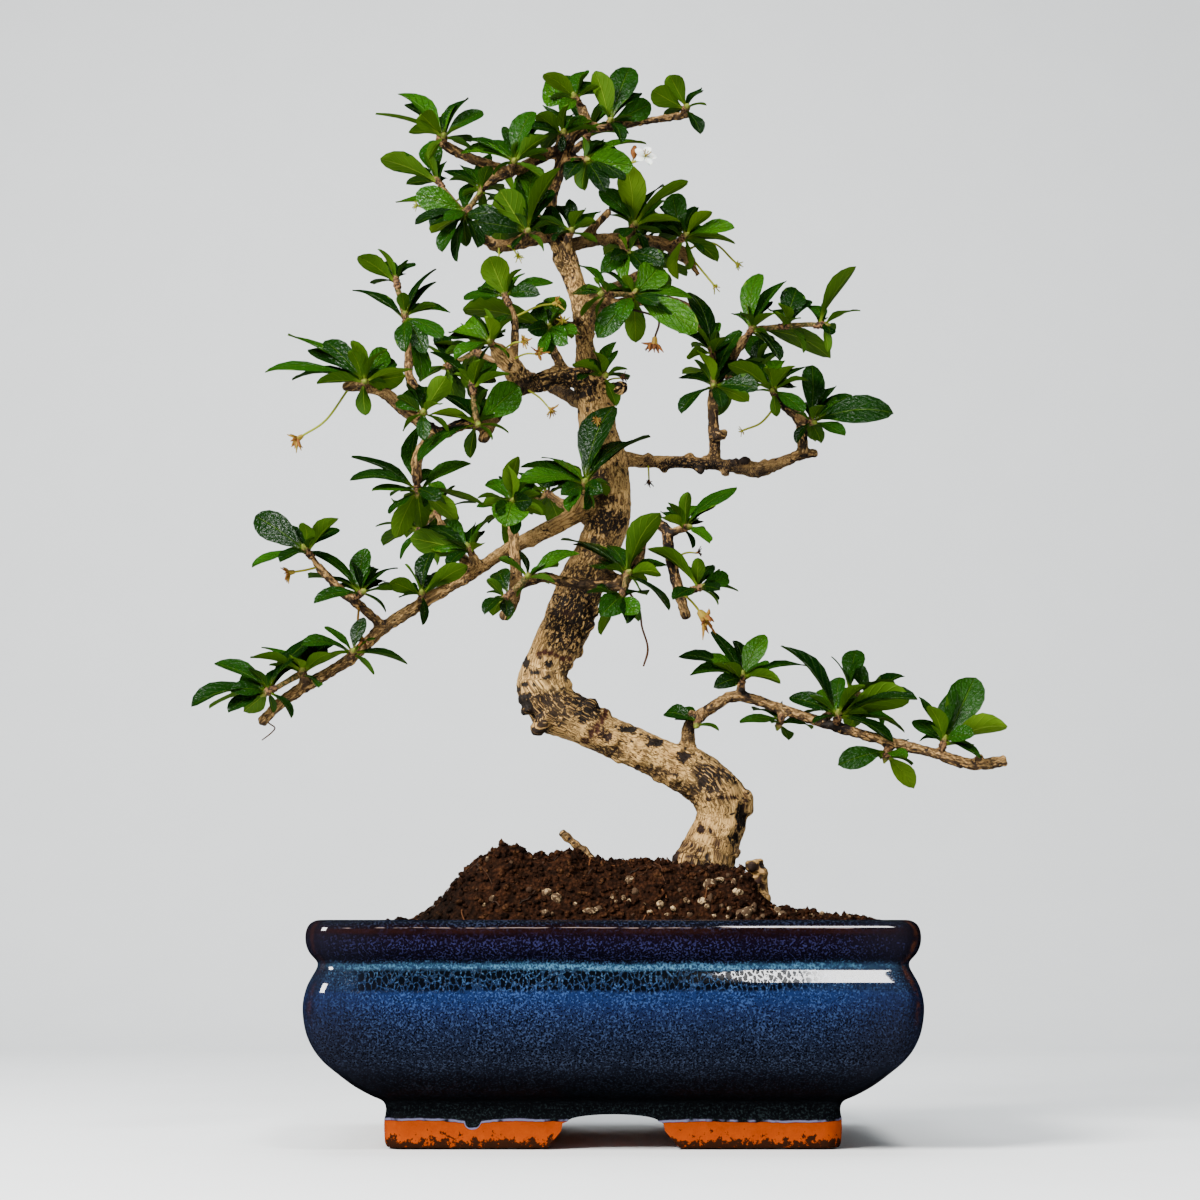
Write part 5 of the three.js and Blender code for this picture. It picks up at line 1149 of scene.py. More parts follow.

# Marks on the bark seen in front: picture column, row, half width, half height, darkness, redness, rise;
# darkness is partly the bark's black mottling and partly painted shade where trunk and limbs lie in shadow
BARK_SPOTS = [
    (702, 829, 4, 4, 1.3, 0.0, -1.3), (704, 829, 8, 8, 0.0, 0.3, 0.4), (690, 851, 14, 12, 0.55, 0.25, 0.5),
    (709, 778, 16, 20, 0.9, 0.0, -0.2), (724, 769, 12, 9, 0.75, 0.0, 0.0), (741, 818, 6, 14, 1.2, 0.0, -0.4),
    (736, 838, 5, 6, 1.1, 0.0, 0.0), (684, 757, 8, 5, 1.2, 0.1, -0.3), (726, 797, 12, 3, 0.9, 0.3, 0.2),
    (733, 775, 10, 8, 0.95, 0.0, 0.0), (723, 798, 4, 2, 1.2, 0.0, 0.0), (745, 800, 2, 14, 0.6, 0.5, 0.3),
    (606, 711, 2.4, 6, 0.9, 1.0, -0.2), (602, 719, 2.4, 6, 0.9, 1.0, -0.2), (597, 727, 2.6, 6, 0.9, 1.0, -0.2),
    (591, 734, 3, 5, 0.9, 1.0, -0.2), (585, 741, 4, 4, 0.9, 0.8, 0.0), (606, 736, 7, 6, 1.0, 0.3, 0.0),
    (575, 616, 30, 34, 0.95, 0.0, 0.1), (566, 640, 20, 14, 0.85, 0.0, 0.0), (590, 582, 32, 22, 0.8, 0.0, 0.0),
    (567, 613, 6, 5, 0.0, 0.35, 0.2), (539, 654, 3.5, 3, 0.9, 1.0, 0.2), (545, 652.5, 3.5, 3, 0.9, 1.0, 0.2),
    (551, 653.5, 3.5, 3, 0.9, 1.0, 0.2), (557, 656, 3.5, 3, 0.9, 1.0, 0.2), (563, 658, 3.5, 3, 0.9, 1.0, 0.2),
    (569, 659, 3.5, 3, 0.9, 1.0, 0.2), (566, 668, 6, 12, 0.8, 0.1, 0.0), (548, 663, 5, 4, 1.1, 0.0, 0.0),
    (527, 663, 4, 5, 1.25, 0.0, 0.0), (536, 673, 5, 3, 1.25, 0.0, 0.0), (525, 685, 4, 3, 1.25, 0.0, 0.0),
    (519, 690, 4, 3, 1.2, 0.0, 0.0), (524, 702, 8, 9, 1.3, 0.0, 0.0), (531, 717, 16, 15, 0.95, 0.0, 0.0),
    (560, 700, 34, 10, 0.85, 0.0, 0.0), (588, 706, 18, 20, 0.95, 0.0, 0.1), (545, 715, 24, 12, 0.8, 0.0, 0.0),
    (538, 730, 12, 10, 0.9, 0.0, 0.0), (631, 729, 7, 4, 1.25, 0.0, 0.0), (622, 728, 3, 4, 1.1, 0.0, 0.0),
    (655, 742, 7, 5, 1.25, 0.0, 0.0), (608, 738, 7, 5, 1.1, 0.1, 0.0), (640, 772, 46, 6, 0.75, 0.1, 0.0),
    (680, 795, 22, 16, 0.8, 0.0, 0.0), (600, 752, 22, 7, 0.8, 0.1, 0.0), (690, 868, 20, 8, 0.85, 0.0, 0.0),
    (724, 862, 12, 8, 0.6, 0.0, 0.0), (688, 722, 12, 26, 0.7, 0.0, 0.0), (672, 840, 8, 12, 0.5, 0.3, 0.0),
    (600, 482, 10, 14, 0.9, 0.0, 0.0), (616, 440, 8, 30, 0.4, 0.0, 0.0), (575, 384, 30, 18, 0.95, 0.0, 0.0),
    (535, 386, 24, 16, 0.95, 0.0, 0.0), (578, 320, 14, 34, 0.6, 0.0, 0.0), (566, 262, 12, 20, 0.5, 0.0, 0.0),
    (608, 522, 22, 14, 0.95, 0.0, 0.0), (600, 552, 18, 14, 0.7, 0.0, 0.0), (604, 500, 14, 6, 0.8, 0.1, 0.0),
    (621, 388, 10, 9, 1.0, 0.0, 0.0), (568, 180, 16, 74, 0.85, 0.0, 0.0), (753, 868, 7, 6, 1.0, 0.2, 0.0),
    (760, 882, 6, 8, 0.95, 0.35, 0.0), (757, 902, 10, 10, 0.9, 0.35, 0.0), (764, 864, 4, 4, 1.1, 0.0, 0.0),
    (560, 235, 14, 10, 0.9, 0.0, 0.0), (690, 467, 56, 9, 0.97, 0.0, 0.0), (748, 474, 26, 8, 0.85, 0.0, 0.0),
    (714, 430, 7, 34, 0.85, 0.0, 0.0), (668, 560, 12, 60, 0.95, 0.0, 0.0), (741, 461, 11, 5, 1.2, 0.1, 0.8),
    (786, 400, 10, 14, 1.05, 0.0, 0.0), (803, 434, 8, 10, 1.0, 0.0, 0.0), (722, 372, 14, 14, 1.05, 0.0, 0.0),
    (694, 724, 9, 10, 1.0, 0.0, 0.0), (835, 725, 20, 9, 1.15, 0.0, 0.0), (746, 690, 8, 8, 1.1, 0.0, 0.0),
    (700, 700, 9, 8, 1.0, 0.0, 0.0), (883, 748, 8, 5, 1.0, 0.0, 0.0), (690, 846, 8, 2, 1.0, 0.0, -0.3),
    (700, 850, 5, 2.4, 1.0, 0.0, -0.3), (707, 857, 3, 4, 1.0, 0.0, -0.3), (710, 864, 2.8, 5, 1.0, 0.0, -0.3),
    (690, 857, 8, 2, 0.9, 0.3, 0.2), (684, 864, 9, 2.2, 0.95, 0.3, 0.2), (697, 865, 5, 2.2, 0.9, 0.2, 0.2),
    (675, 856, 5, 7, 1.1, 0.0, 0.0), (671, 865, 6, 6, 1.15, 0.0, 0.0), (736, 856, 5, 14, 0.7, 0.0, 0.0),
    (716, 846, 3, 12, 0.6, 0.4, 0.0), (450, 425, 26, 12, 1.0, 0.0, 0.0),
]


# Size, age of the stalk and age of the head at the end of each dry stalk
DRY_LOOKS = [
    (0.6, 0.0, 0.15), (0.7, 0.1, 0.2), (0.7, 0.1, 0.2), (0.5, 0.1, 0.3), (1.25, 0.05, 0.5), (1.15, 0.2, 0.55),
    (1.0, 0.5, 0.8), (1.9, 0.15, 0.6), (0, 0.85, 0), (1.4, 0.97, 0.72),
    (0, 0.8, 0),
]
# Withered heads on short stalks: picture column and row, depth, size and age
DRY_HEADS = [
    (553, 304, -26, 0.9, 0.5), (522, 342, -36, 1.0, 0.5), (536, 354, -32, 1.0, 0.55), (549, 408, -22, 0.9, 0.5),
    (517, 255, -14, 0.7, 0.2), (562, 322, -24, 0.7, 0.3), (499, 262, -12, 0.5, 0.2), (597, 420, -14, 0.5, 0.6),
    (621, 378, -9, 0.7, 1.0), (649, 480, 8, 0.6, 1.0), (696, 553, -22, 0.6, 1.0),
]


def picture(points):
    """Picture columns and rows of points, as the photograph's view shows them."""
    away = points - VIEW
    sin, cos = math.sin(VIEW_PITCH), math.cos(VIEW_PITCH)
    reach = away[:, 1] * cos + away[:, 2] * sin
    up = away[:, 2] * cos - away[:, 1] * sin
    return PICTURE_MIDDLE + FOCAL * away[:, 0] / reach, PICTURE_MIDDLE - FOCAL * up / reach


def bark_marks(points, normals):
    """Darkness, redness and rise of the bark at points: the listed spots, soft at their edges, on
    what faces the front."""
    columns, rows = picture(points)
    dark, red, rise = np.zeros((3, len(points)))
    fray = 1 + 0.35 * noise(points, 0.5, 77) + 0.3 * noise(points, 1.1, 78)
    front = np.clip(0.45 - normals[:, 1] * 1.6, 0, 1)
    for column, row, wide, tall, spot_dark, spot_red, spot_rise in BARK_SPOTS:
        far = np.hypot((columns - column) / wide, (rows - row) / tall) * fray
        share = np.clip(1.35 - far, 0, 1) * front
        dark = np.maximum(dark, np.minimum(share * 1.6, 1) * spot_dark)
        red = np.maximum(red, np.minimum(share * 1.6, 1) * spot_red)
        rise = rise + share * spot_rise
    return dark, red, rise


def make_wood(bark, dry, shoots):
    """The tree's wood: limbs as tubes, joined and evened by a voxel skin, then cracked and lumped along
    the normals by noise stretched along the grain. Thin stalks are tubes of their own beside it."""
    solid = Build("wood_skin")
    for rows in [TRUNK, ROOT_STUB] + LIMBS + STUBS:
        points, radii = limb_path(rows)
        radii = radii * (1 + 0.5 * np.clip((2.3 - radii) / 1.3, 0, 1))
        path, sizes = smooth_path(points, np.maximum(radii, 0.9), 2.0)
        sides = 40 if radii.max() > 6 else 20 if radii.max() > 2 else 12
        solid.add(*tube(path, sizes, sides, 0.05, len(path)))
    add_scars(solid)
    for buds in shoots.values():
        bud = buds[0]
        tip = bud["foot"] + bud["axis"] * (bud["reach"] - BUD_HALF_LENGTH * 0.6)
        size = min(SPUR_FOOT, 0.9 * bud["radius"]) * 1.1
        path, sizes = smooth_path([bud["foot"], bud["foot"] * 0.5 + tip * 0.5, tip],
                                  [size * 1.25, size, max(1.1, min(1.5, size))], 0.8)
        solid.add(*tube(path, sizes, 12, 0.22, int(abs(bud["foot"][0]))))
    for column, row, depth, size in BARK_KNOBS:
        at = seen(column, row, depth)
        path = [at + [0, 0, -0.3 * size], at + [0, 0, 0.3 * size]]
        solid.add(*tube(path, [size, size], 16, 0.25, column))
    piece = solid.make([bark])
    change = piece.modifiers.new("skin", "REMESH")
    change.mode = "VOXEL"
    change.voxel_size = WOOD_VOXEL / 1000
    bpy.context.view_layer.update()
    mesh = bpy.data.meshes.new_from_object(piece.evaluated_get(bpy.context.evaluated_depsgraph_get()))
    piece.modifiers.clear()
    piece.data = mesh
    co = np.zeros(len(mesh.vertices) * 3, np.float32)
    mesh.vertices.foreach_get("co", co)
    normals = np.zeros(len(mesh.vertices) * 3, np.float32)
    mesh.vertices.foreach_get("normal", normals)
    points = co.reshape(-1, 3).astype(float) * 1000 - SHIFT
    normals = normals.reshape(-1, 3).astype(float)
    grain = along_axes(points)
    stretched = np.column_stack([grain[:, 0] * 0.22, grain[:, 1], grain[:, 2] * 0.2])
    cracks = -np.abs(noise(stretched, 0.55, 21)) + 0.3
    lumps = layered(points, 0.13, 31, 3)
    strength = np.clip(grain[:, 2] / 6, 0.2, 1)
    dark, red, raised = bark_marks(points, normals)
    thin = np.clip((3.7 - grain[:, 2]) / 2.3, 0, 1)
    # Thin limbs are darkened, the more the further they face down: partly the darker bark of young limbs, partly
    # painted shade on their undersides.
    shade = np.clip(0.15 - normals[:, 2] * 1.2, 0, 1)
    dark = np.clip(np.maximum(dark, thin * (0.3 + 0.5 * shade)) + 0.1, 0, 1.35)
    layer = mesh.attributes.new("limb", "FLOAT", "POINT")
    layer.data.foreach_set("value", thin.astype(np.float32))
    push = strength * (0.3 * cracks + 0.5 * lumps) + (0.12 + 0.3 * dark) * noise(points, 0.85, 5) + raised
    points = points + normals * push[:, None]
    mesh.vertices.foreach_set("co", ((points + SHIFT) / 1000).astype(np.float32).ravel())
    marks = np.column_stack([grain[:, 0] / 100, grain[:, 1] / 100 + 0.5, red, dark])
    put_marks(mesh, marks)
    mesh.update()
    dress(piece, [], 60)
    ride(piece, "bark", "wood")
    stalks = Build("flower_stalks")
    for number, rows in enumerate(DRY_STALKS):
        size, stalk_age, head_age = DRY_LOOKS[number]
        points, radii = limb_path(rows)
        path, sizes = smooth_path(points, np.minimum(radii, 0.42), 1.2)
        solid_points, faces = tube(path, sizes, 8)
        stalks.add(solid_points, faces, 0, (0, 0, stalk_age, 0))
        if size:
            withered_head(stalks, points[-1], unit(points[-1] - points[-2]), number, size, head_age)
    for number, (column, row, depth, size, age) in enumerate(DRY_HEADS):
        at = seen(column, row, depth)
        foot = nearest_wood(at)[0]
        path, sizes = smooth_path([foot, foot * 0.4 + at * 0.6 + [0, -1, 0.8], at], [0.4, 0.35, 0.3], 1.2)
        points, faces = tube(path, sizes, 8)
        stalks.add(points, faces, 0, (0, 0, 0.1, 0))
        withered_head(stalks, at, unit(at - foot + [0, -2, 0]), 40 + number, size, age)
    ride(stalks.make([dry]), "dead_wood")


def add_scars(solid):
    """Lumps round the trunk and every limb at uneven spaces, where leaves and twigs once stood."""
    rng = np.random.default_rng(5)
    for points, radii in AXES:
        path, sizes = smooth_path(points, radii, 2.0)
        along, normal, across = frames_along(path)
        k = 2
        while k < len(path) - 1:
            turn = rng.uniform(0, 6.28)
            out = normal[k] * math.cos(turn) + across[k] * math.sin(turn)
            size = min(2.1, sizes[k] * rng.uniform(0.4, 0.66) + 0.2)
            at = path[k] + out * (sizes[k] - size * 0.45)
            line = [at - along[k] * size * 0.4, at + along[k] * size * 0.4]
            solid.add(*tube(line, [size, size], 10, 0.2, k))
            k += int(rng.integers(2, 5))


def withered_head(build, at, onward, number, size, age):
    """A dried flower head: a small cup and curled strips that fan from it, each a thin bent blade."""
    rng = np.random.default_rng(100 + number)
    path = [at, at + onward * 1.6 * size]
    points, faces = tube(path, [0.6 * size, 0.9 * size], 8, 0.2, number)
    build.add(points, faces, 0, (0, 0, age * 0.6, 0))
    side = unit(np.cross(onward, [0.3, 0.2, 1]))
    over = np.cross(onward, side)
    for k in range(14):
        turn = k * GOLDEN
        out = unit(onward * rng.uniform(0.2, 1.2) + side * math.cos(turn) + over * math.sin(turn))
        start = at + onward * 1.2 * size
        bend = rng.uniform(-1.3, 1.3, 3) * size + [0, 0, -0.5 * size]
        length = rng.uniform(1.6, 3.4) * size
        path = np.array([start, start + out * length * 0.6 + bend * 0.3, start + out * length + bend])
        line, sizes = smooth_path(path, [0.22 * size, 0.36 * size, 0.16], 0.9)
        points, faces = tube(line, sizes, 6, 0.3, k)
        build.add(points, faces, 0, (0, 0, np.clip(age + rng.uniform(-0.18, 0.12), 0, 1), 0))


# Leaves ------------------------------------------------------------------------------------------

# Tone of a leaf by the letter of its row: dark, middle, or light underside; the low tone of the dark
# letter is partly the leaf's own colour and partly painted shade
LEAF_TONE_AND_SHADE = {"D": 0.22, "M": 0.6, "L": 0.6}
# Seen widths are of leaves turned partly away, so blades are drawn this much wider
LEAF_PLUMP = 1.2

# Small leaves that only the looks have: by shoot and bud, as the rows of a shoot
EXTRA_LEAVES = {
    ("crown_left_tip", 0): [(405, 104, 12, "D"), (455, 104, 10, "M")],
    ("crown_left_low", 1): [(445, 220, 10, "M"), (473, 184, 14, "D"), (430, 224, 9, "D"), (498, 214, 14, "D")],
    ("crown_left_low", 2): [(441, 168, 10, "D"), (408, 172, 10, "D")],
    ("crown_left_inner", 0): [(505, 128, 14, "D"), (488, 140, 10, "M"), (545, 120, 10, "D")],
    ("upper_left", 0): [(518, 214, 20, "D"), (490, 206, 14, "D"), (552, 190, 16, "D"), (520, 180, 14, "M")],
    ("leader_front", 0): [(560, 205, 12, "D"), (600, 212, 7, "M")],
    ("crown_top", 0): [(562, 76, 12, "D"), (600, 92, 10, "D"), (560, 112, 12, "M")],
    ("crown_peak", 0): [(612, 80, 12, "D"), (640, 92, 12, "D"), (622, 140, 10, "D")],
    ("crown_front", 0): [(574, 112, 8, "D"), (545, 105, 10, "D"), (590, 120, 10, "M")],
    ("crown_under", 0): [(606, 182, 11, "L"), (620, 150, 16, "D"), (566, 178, 12, "D"), (625, 180, 10, "D")],
    ("upper_right_inner", 0): [(624, 236, 8, "D"), (645, 205, 12, "D"), (612, 205, 12, "D")],
    ("upper_right_tip", 0): [
        (648, 229, 10, "D"), (686, 270, 8, "L"), (690, 215, 14, "D"), (662, 205, 14, "D"), (712, 232, 10, "D"),
    ],
    ("upper_right_under", 0): [(648, 275, 14, "D"), (612, 258, 12, "D")],
    ("upper_right_low", 0): [(604, 270, 6, "D"), (680, 315, 14, "D"), (620, 320, 14, "M"), (650, 280, 14, "D")],
    ("right_high", 0): [(722, 405, 12, "D"), (735, 360, 14, "D"), (700, 372, 12, "D")],
    ("right_high", 1): [(723, 336, 8, "L"), (704, 318, 14, "D"), (726, 345, 12, "D")],
    ("right_top", 0): [(774, 351, 9, "L"), (780, 361, 8, "D"), (770, 300, 12, "D"), (748, 300, 10, "D")],
    ("right_top", 1): [(779, 314, 8, "L"), (810, 300, 12, "D")],
    ("right_mid", 0): [(756, 385, 7, "L"), (778, 361, 12, "M"), (750, 372, 12, "D"), (795, 385, 10, "D")],
    ("right_out", 0): [(835, 385, 12, "D"), (868, 412, 12, "D"), (800, 400, 10, "D"), (862, 398, 10, "M")],
    ("left_hanging", 0): [(438, 470, 12, "D"), (372, 490, 8, "M"), (440, 500, 12, "D")],
    ("low_left_inner", 0): [(482, 543, 7, "L"), (455, 535, 14, "D"), (430, 545, 14, "M")],
    ("low_left_mid", 0): [(448, 575, 12, "D"), (408, 590, 12, "D")],
    ("centre", 0): [
        (568, 510, 8, "M"), (585, 508, 6, "D"), (560, 462, 12, "D"), (625, 440, 14, "D"), (540, 482, 12, "D"),
        (600, 440, 14, "M"),
    ],
    ("centre_left", 0): [(508, 466, 6, "L"), (530, 500, 18, "D"), (495, 512, 14, "D"), (523, 517, 12, "L")],
    ("centre_low", 0): [(667, 566, 6, "M"), (610, 545, 14, "D"), (640, 545, 12, "M"), (600, 556, 12, "D")],
    ("centre_low", 1): [(628, 622, 10, "D")],
    ("arch_tip", 0): [(665, 517, 10, "L"), (715, 505, 9, "D"), (700, 520, 10, "D")],
    ("arch_low", 0): [(712, 565, 12, "D"), (720, 590, 10, "D")],
    ("low_right_foot", 0): [(676, 716, 12, "D"), (680, 708, 10, "M")],
    ("low_right_inner", 0): [(725, 662, 9, "L"), (736, 640, 12, "D"), (770, 665, 10, "D"), (700, 655, 10, "M")],
    ("low_right_drop", 0): [(780, 704, 9, "D")],
    ("low_right_mid", 0): [
        (906, 727, 7, "M"), (820, 690, 14, "M"), (870, 700, 12, "D"), (850, 690, 14, "D"), (880, 715, 12, "M"),
    ],
    ("low_right_tip", 0): [(918, 698, 9, "M"), (980, 757, 7, "M"), (955, 690, 16, "D"), (975, 735, 12, "M")],
    ("low_left_tip", 0): [(344, 651, 11, "L"), (280, 650, 10, "D"), (310, 652, 14, "D"), (335, 640, 10, "D")],
    ("low_left_tip", 1): [(209, 707, 6, "L"), (232, 690, 10, "D"), (256, 682, 12, "D"), (280, 668, 12, "D")],
    ("left_low_tip", 0): [(282, 528, 14, "D"), (318, 540, 10, "M"), (280, 560, 8, "D")],
    ("left_low_inner", 0): [(350, 570, 12, "D"), (375, 568, 12, "D"), (335, 585, 8, "M")],
    ("left_tip", 0): [
        (385, 347, 8, "L"), (413, 370, 8, "L"), (353, 340, 10, "L"), (340, 360, 14, "D"), (370, 358, 14, "D"),
        (308, 350, 12, "D"), (395, 362, 14, "D"), (330, 372, 10, "M"),
    ],
    ("left_high", 0): [(416, 305, 7, "D"), (425, 352, 18, "D"), (405, 350, 16, "D"), (420, 296, 8, "D")],
    ("left_high", 1): [(382, 262, 10, "D"), (404, 268, 8, "M")],
    ("left_joint", 0): [(440, 403, 7, "L"), (425, 385, 16, "D"), (410, 380, 14, "D")],
    ("mid_left_tip", 0): [(510, 282, 9, "D"), (538, 292, 12, "D"), (480, 285, 14, "D"), (520, 290, 12, "M")],
    ("mid_left_stub", 0): [(449, 338, 7, "D"), (455, 358, 8, "M"), (478, 330, 16, "D"), (500, 330, 14, "D")],
    ("mid_left_fork", 0): [(495, 400, 18, "D"), (460, 398, 14, "D"), (480, 402, 16, "M")],
    ("mid_left_fork", 1): [(509, 375, 8, "L"), (475, 366, 14, "D"), (495, 375, 14, "D"), (455, 372, 12, "D")],
    ("mid_left_trunk", 0): [(535, 305, 20, "M"), (510, 318, 18, "D"), (560, 318, 14, "D"), (530, 330, 14, "D")],
    ("trunk_node", 0): [(596, 350, 9, "L"), (586, 362, 7, "M")],
}

# Short leaves filling a rosette, where the photograph shows fewer or more than five
FILL = {"low_right_foot": 1, "low_right_under": 3, "centre_left": 6, "mid_left_fork": 7, "mid_left_stub": 6,
        "left_joint": 6, "crown_under": 6, "low_right_drop": 2}

# Share of the length, and half width there, of a leaf's outline with its blunt toothed tip
OUTLINE = [
    (0, 0.07), (0.12, 0.13), (0.26, 0.42), (0.41, 0.76), (0.56, 0.96), (0.71, 1.0), (0.85, 0.83), (0.95, 0.5),
    (1, 0.1),
]
ACROSS = np.array([-1, -0.52, 0, 0.52, 1.0])
BLADE = 0.36


def leaf_faces():
    """Rings of top points from left to right and then bottom points back, joined along the leaf."""
    rows, across = len(OUTLINE), len(ACROSS)
    around = 2 * across - 2
    faces = ring_faces(rows, around)
    column = np.tile(np.arange(around), rows - 1)
    slots = np.where(column < across - 1, 0, 1)
    cap = np.arange(around)
    return [faces, cap[::-1][None], (cap + (rows - 1) * around)[None]], [slots, [1], [1]]


LEAF_FACES, LEAF_SLOTS = leaf_faces()


def add_leaf(build, leaf, rng, tone_and_shade, plump, thin=1.0):
    """One blade: its outline widens like a spoon, arches along its length, folds a little along the
    midrib and waves at its margins; the underside runs a blade's thickness below."""
    root, tip, up, width = leaf
    width = width * plump
    span = tip - root
    length = np.linalg.norm(span)
    along = span / length
    right = unit(np.cross(along, up))
    shares = np.array([s for s, _ in OUTLINE])
    halves = np.array([h for _, h in OUTLINE])
    point = rng.uniform(0, 0.5)
    halves = halves * (1 - point * np.clip((shares - 0.62) / 0.33, 0, 1) * 0.42)
    belly = rng.uniform(-0.06, 0.05)
    teeth = 1 + 0.05 * np.cos(shares * 60 + rng.uniform(0, 6)) * np.clip((shares - 0.84) * 9, 0, 1)
    halves = halves * teeth * (1 + belly * np.sin(shares * math.pi))
    halves = np.maximum(halves * width / 2, 0.42 * thin)
    halves[-1] *= 0.4
    fold = rng.uniform(0.02, 0.24)
    cup = rng.uniform(-0.14, 0.16)
    wave = rng.uniform(0.2, 0.9)
    phase = rng.uniform(0, 6.28)
    twist = rng.uniform(-0.3, 0.3)
    curl = rng.uniform(-0.05, 0.09) * length
    s = shares[:, None]
    v = ACROSS[None, :]
    side = v * halves[:, None]
    bend = LEAF_ARCH * length * 4 * s * (1 - s) - curl * np.clip(s - 0.55, 0, 1) ** 2 * 4
    rise = bend + np.abs(side) * fold + cup * side ** 2 / max(1.0, width / 2)
    rise = rise + wave * v ** 2 * np.sin(s * 8 + phase + v * 1.3) * 0.5 * np.minimum(1, s * 3)
    rise = rise + side * twist * s ** 1.5
    groove = 0.16 * np.exp(-(v / 0.12) ** 2) * np.minimum(1, 6 * (1 - s))
    top = rise - groove
    thick = BLADE * (1 - 0.7 * np.abs(v) ** 3) * thin
    keel = (0.28 * np.exp(-(v / 0.16) ** 2)) * (1.25 - s)
    low = rise - thick - keel
    start = root[None, None] + along * (s * length)[..., None] + 0 * v[..., None]
    flat = start + right * side[..., None]
    upper = flat + up * top[..., None]
    lower = flat + up * low[..., None]
    points = np.concatenate([upper, lower[:, -2:0:-1]], 1)
    marks = np.zeros(points.shape[:2] + (4,))
    marks[..., 0] = s
    marks[..., 1] = np.concatenate([v, v[:, -2:0:-1]], 1) * 0.5 + 0.5
    marks[..., 2] = tone_and_shade
    marks[..., 3] = rng.uniform(0, 1)
    build.add_slotted(points.reshape(-1, 3), LEAF_FACES, LEAF_SLOTS, marks.reshape(-1, 4))


def add_slotted(self, points, faces, slots, marks):
    """As add, with a slot number for every face."""
    self.points.append(points)
    self.marks.append(marks)
    for face_set, slot_set in zip(faces, slots):
        self.faces.append(np.asarray(face_set) + self.count)
        self.slots.append(np.asarray(slot_set))
    self.count += len(points)


Build.add_slotted = add_slotted


def seen_leaf(bud, row, index, attempt):
    """Place of a seen leaf: true length and width guessed from what shows, the rest in depth."""
    column, line, width, tone_and_shade = row
    side = -1 if tone_and_shade == "L" else 1
    shift, extra_roll = attempt
    flat = seen(column, line, bud["at"][1])
    shown = np.linalg.norm(flat - bud["at"])
    length = max(1.05 * shown, 0.55 * shown + 9)
    rise = flat[2] - bud["at"][2]
    if abs(rise) < 0.25 * shown:
        sign = 1 if index % 2 else -1
    else:
        sign = math.copysign(1, rise) * side
    depth = sign * math.sqrt(max(0.0, length ** 2 - shown ** 2)) + shift * length
    tip = seen(column, line, bud["at"][1] + depth)
    scale = per_pixel(bud["at"][1])
    true_width = max(width * scale, LEAF_WIDTH_SHARE * length)
    roll = math.acos(min(1.0, width * scale / true_width)) + extra_roll
    along = unit(tip - bud["at"])
    facing = unit(VIEW - tip)
    facing = unit(facing - facing.dot(along) * along)
    over = np.cross(along, facing)
    if over[2] < 0:
        over = -over
    up = facing * side * math.cos(roll) + over * math.sin(roll)
    return root_on(bud, index), tip, up, true_width


def root_on(bud, index):
    """Leaves rise from places spread along their bud."""
    return bud["at"] + bud["axis"] * BUD_ROOTS * (2 * ((index * 0.618) % 1) - 1)


def rule_leaves(bud):
    """Directions and lengths of the leaves turned away from the viewer."""
    back = not bud["rows"]
    spread = 0.95 if back else 0.55
    for i in range(4 if back else 1):
        turn = GOLDEN * (i + 1) + bud["at"][0]
        away = unit([spread * math.cos(turn), 1 - 0.35 * spread, 0.25 + spread * 0.75 * math.sin(turn)])
        yield away, RULE_LENGTH * (0.85 + 0.3 * ((i * 0.618) % 1))


def rule_leaf(bud, away, length, index, attempt):
    """Place of a leaf turned away from the viewer."""
    shift, extra_roll = attempt
    along = unit(away + np.array([0.4 * shift, 0, 0.5 * shift]))
    tip = bud["at"] + along * length
    across = unit(np.cross(along, [0, 0, 1]))
    up = np.cross(across, along) * math.cos(extra_roll) + across * math.sin(extra_roll)
    return root_on(bud, index), tip, up, LEAF_WIDTH_SHARE * length


def on_node(places, corners):
    """The tried place whose tip and broad points lie on the node's corners, or nothing."""
    best, miss = None, 0.2
    for root, tip, up, width in places:
        span = tip - root
        length = np.linalg.norm(span)
        right = unit(np.cross(span, up))
        broad = root + span * 0.72 + up * LEAF_ARCH * length * 4 * 0.72 * 0.28
        spots = [tip, broad + right * width / 2, broad - right * width / 2]
        far = [np.min(np.linalg.norm(corners - spot, axis=1)) for spot in spots]
        worst = sorted(far)[1]
        if far[0] < 0.2 and worst < miss:
            best, miss = (root, tip, up, width), worst
    return best


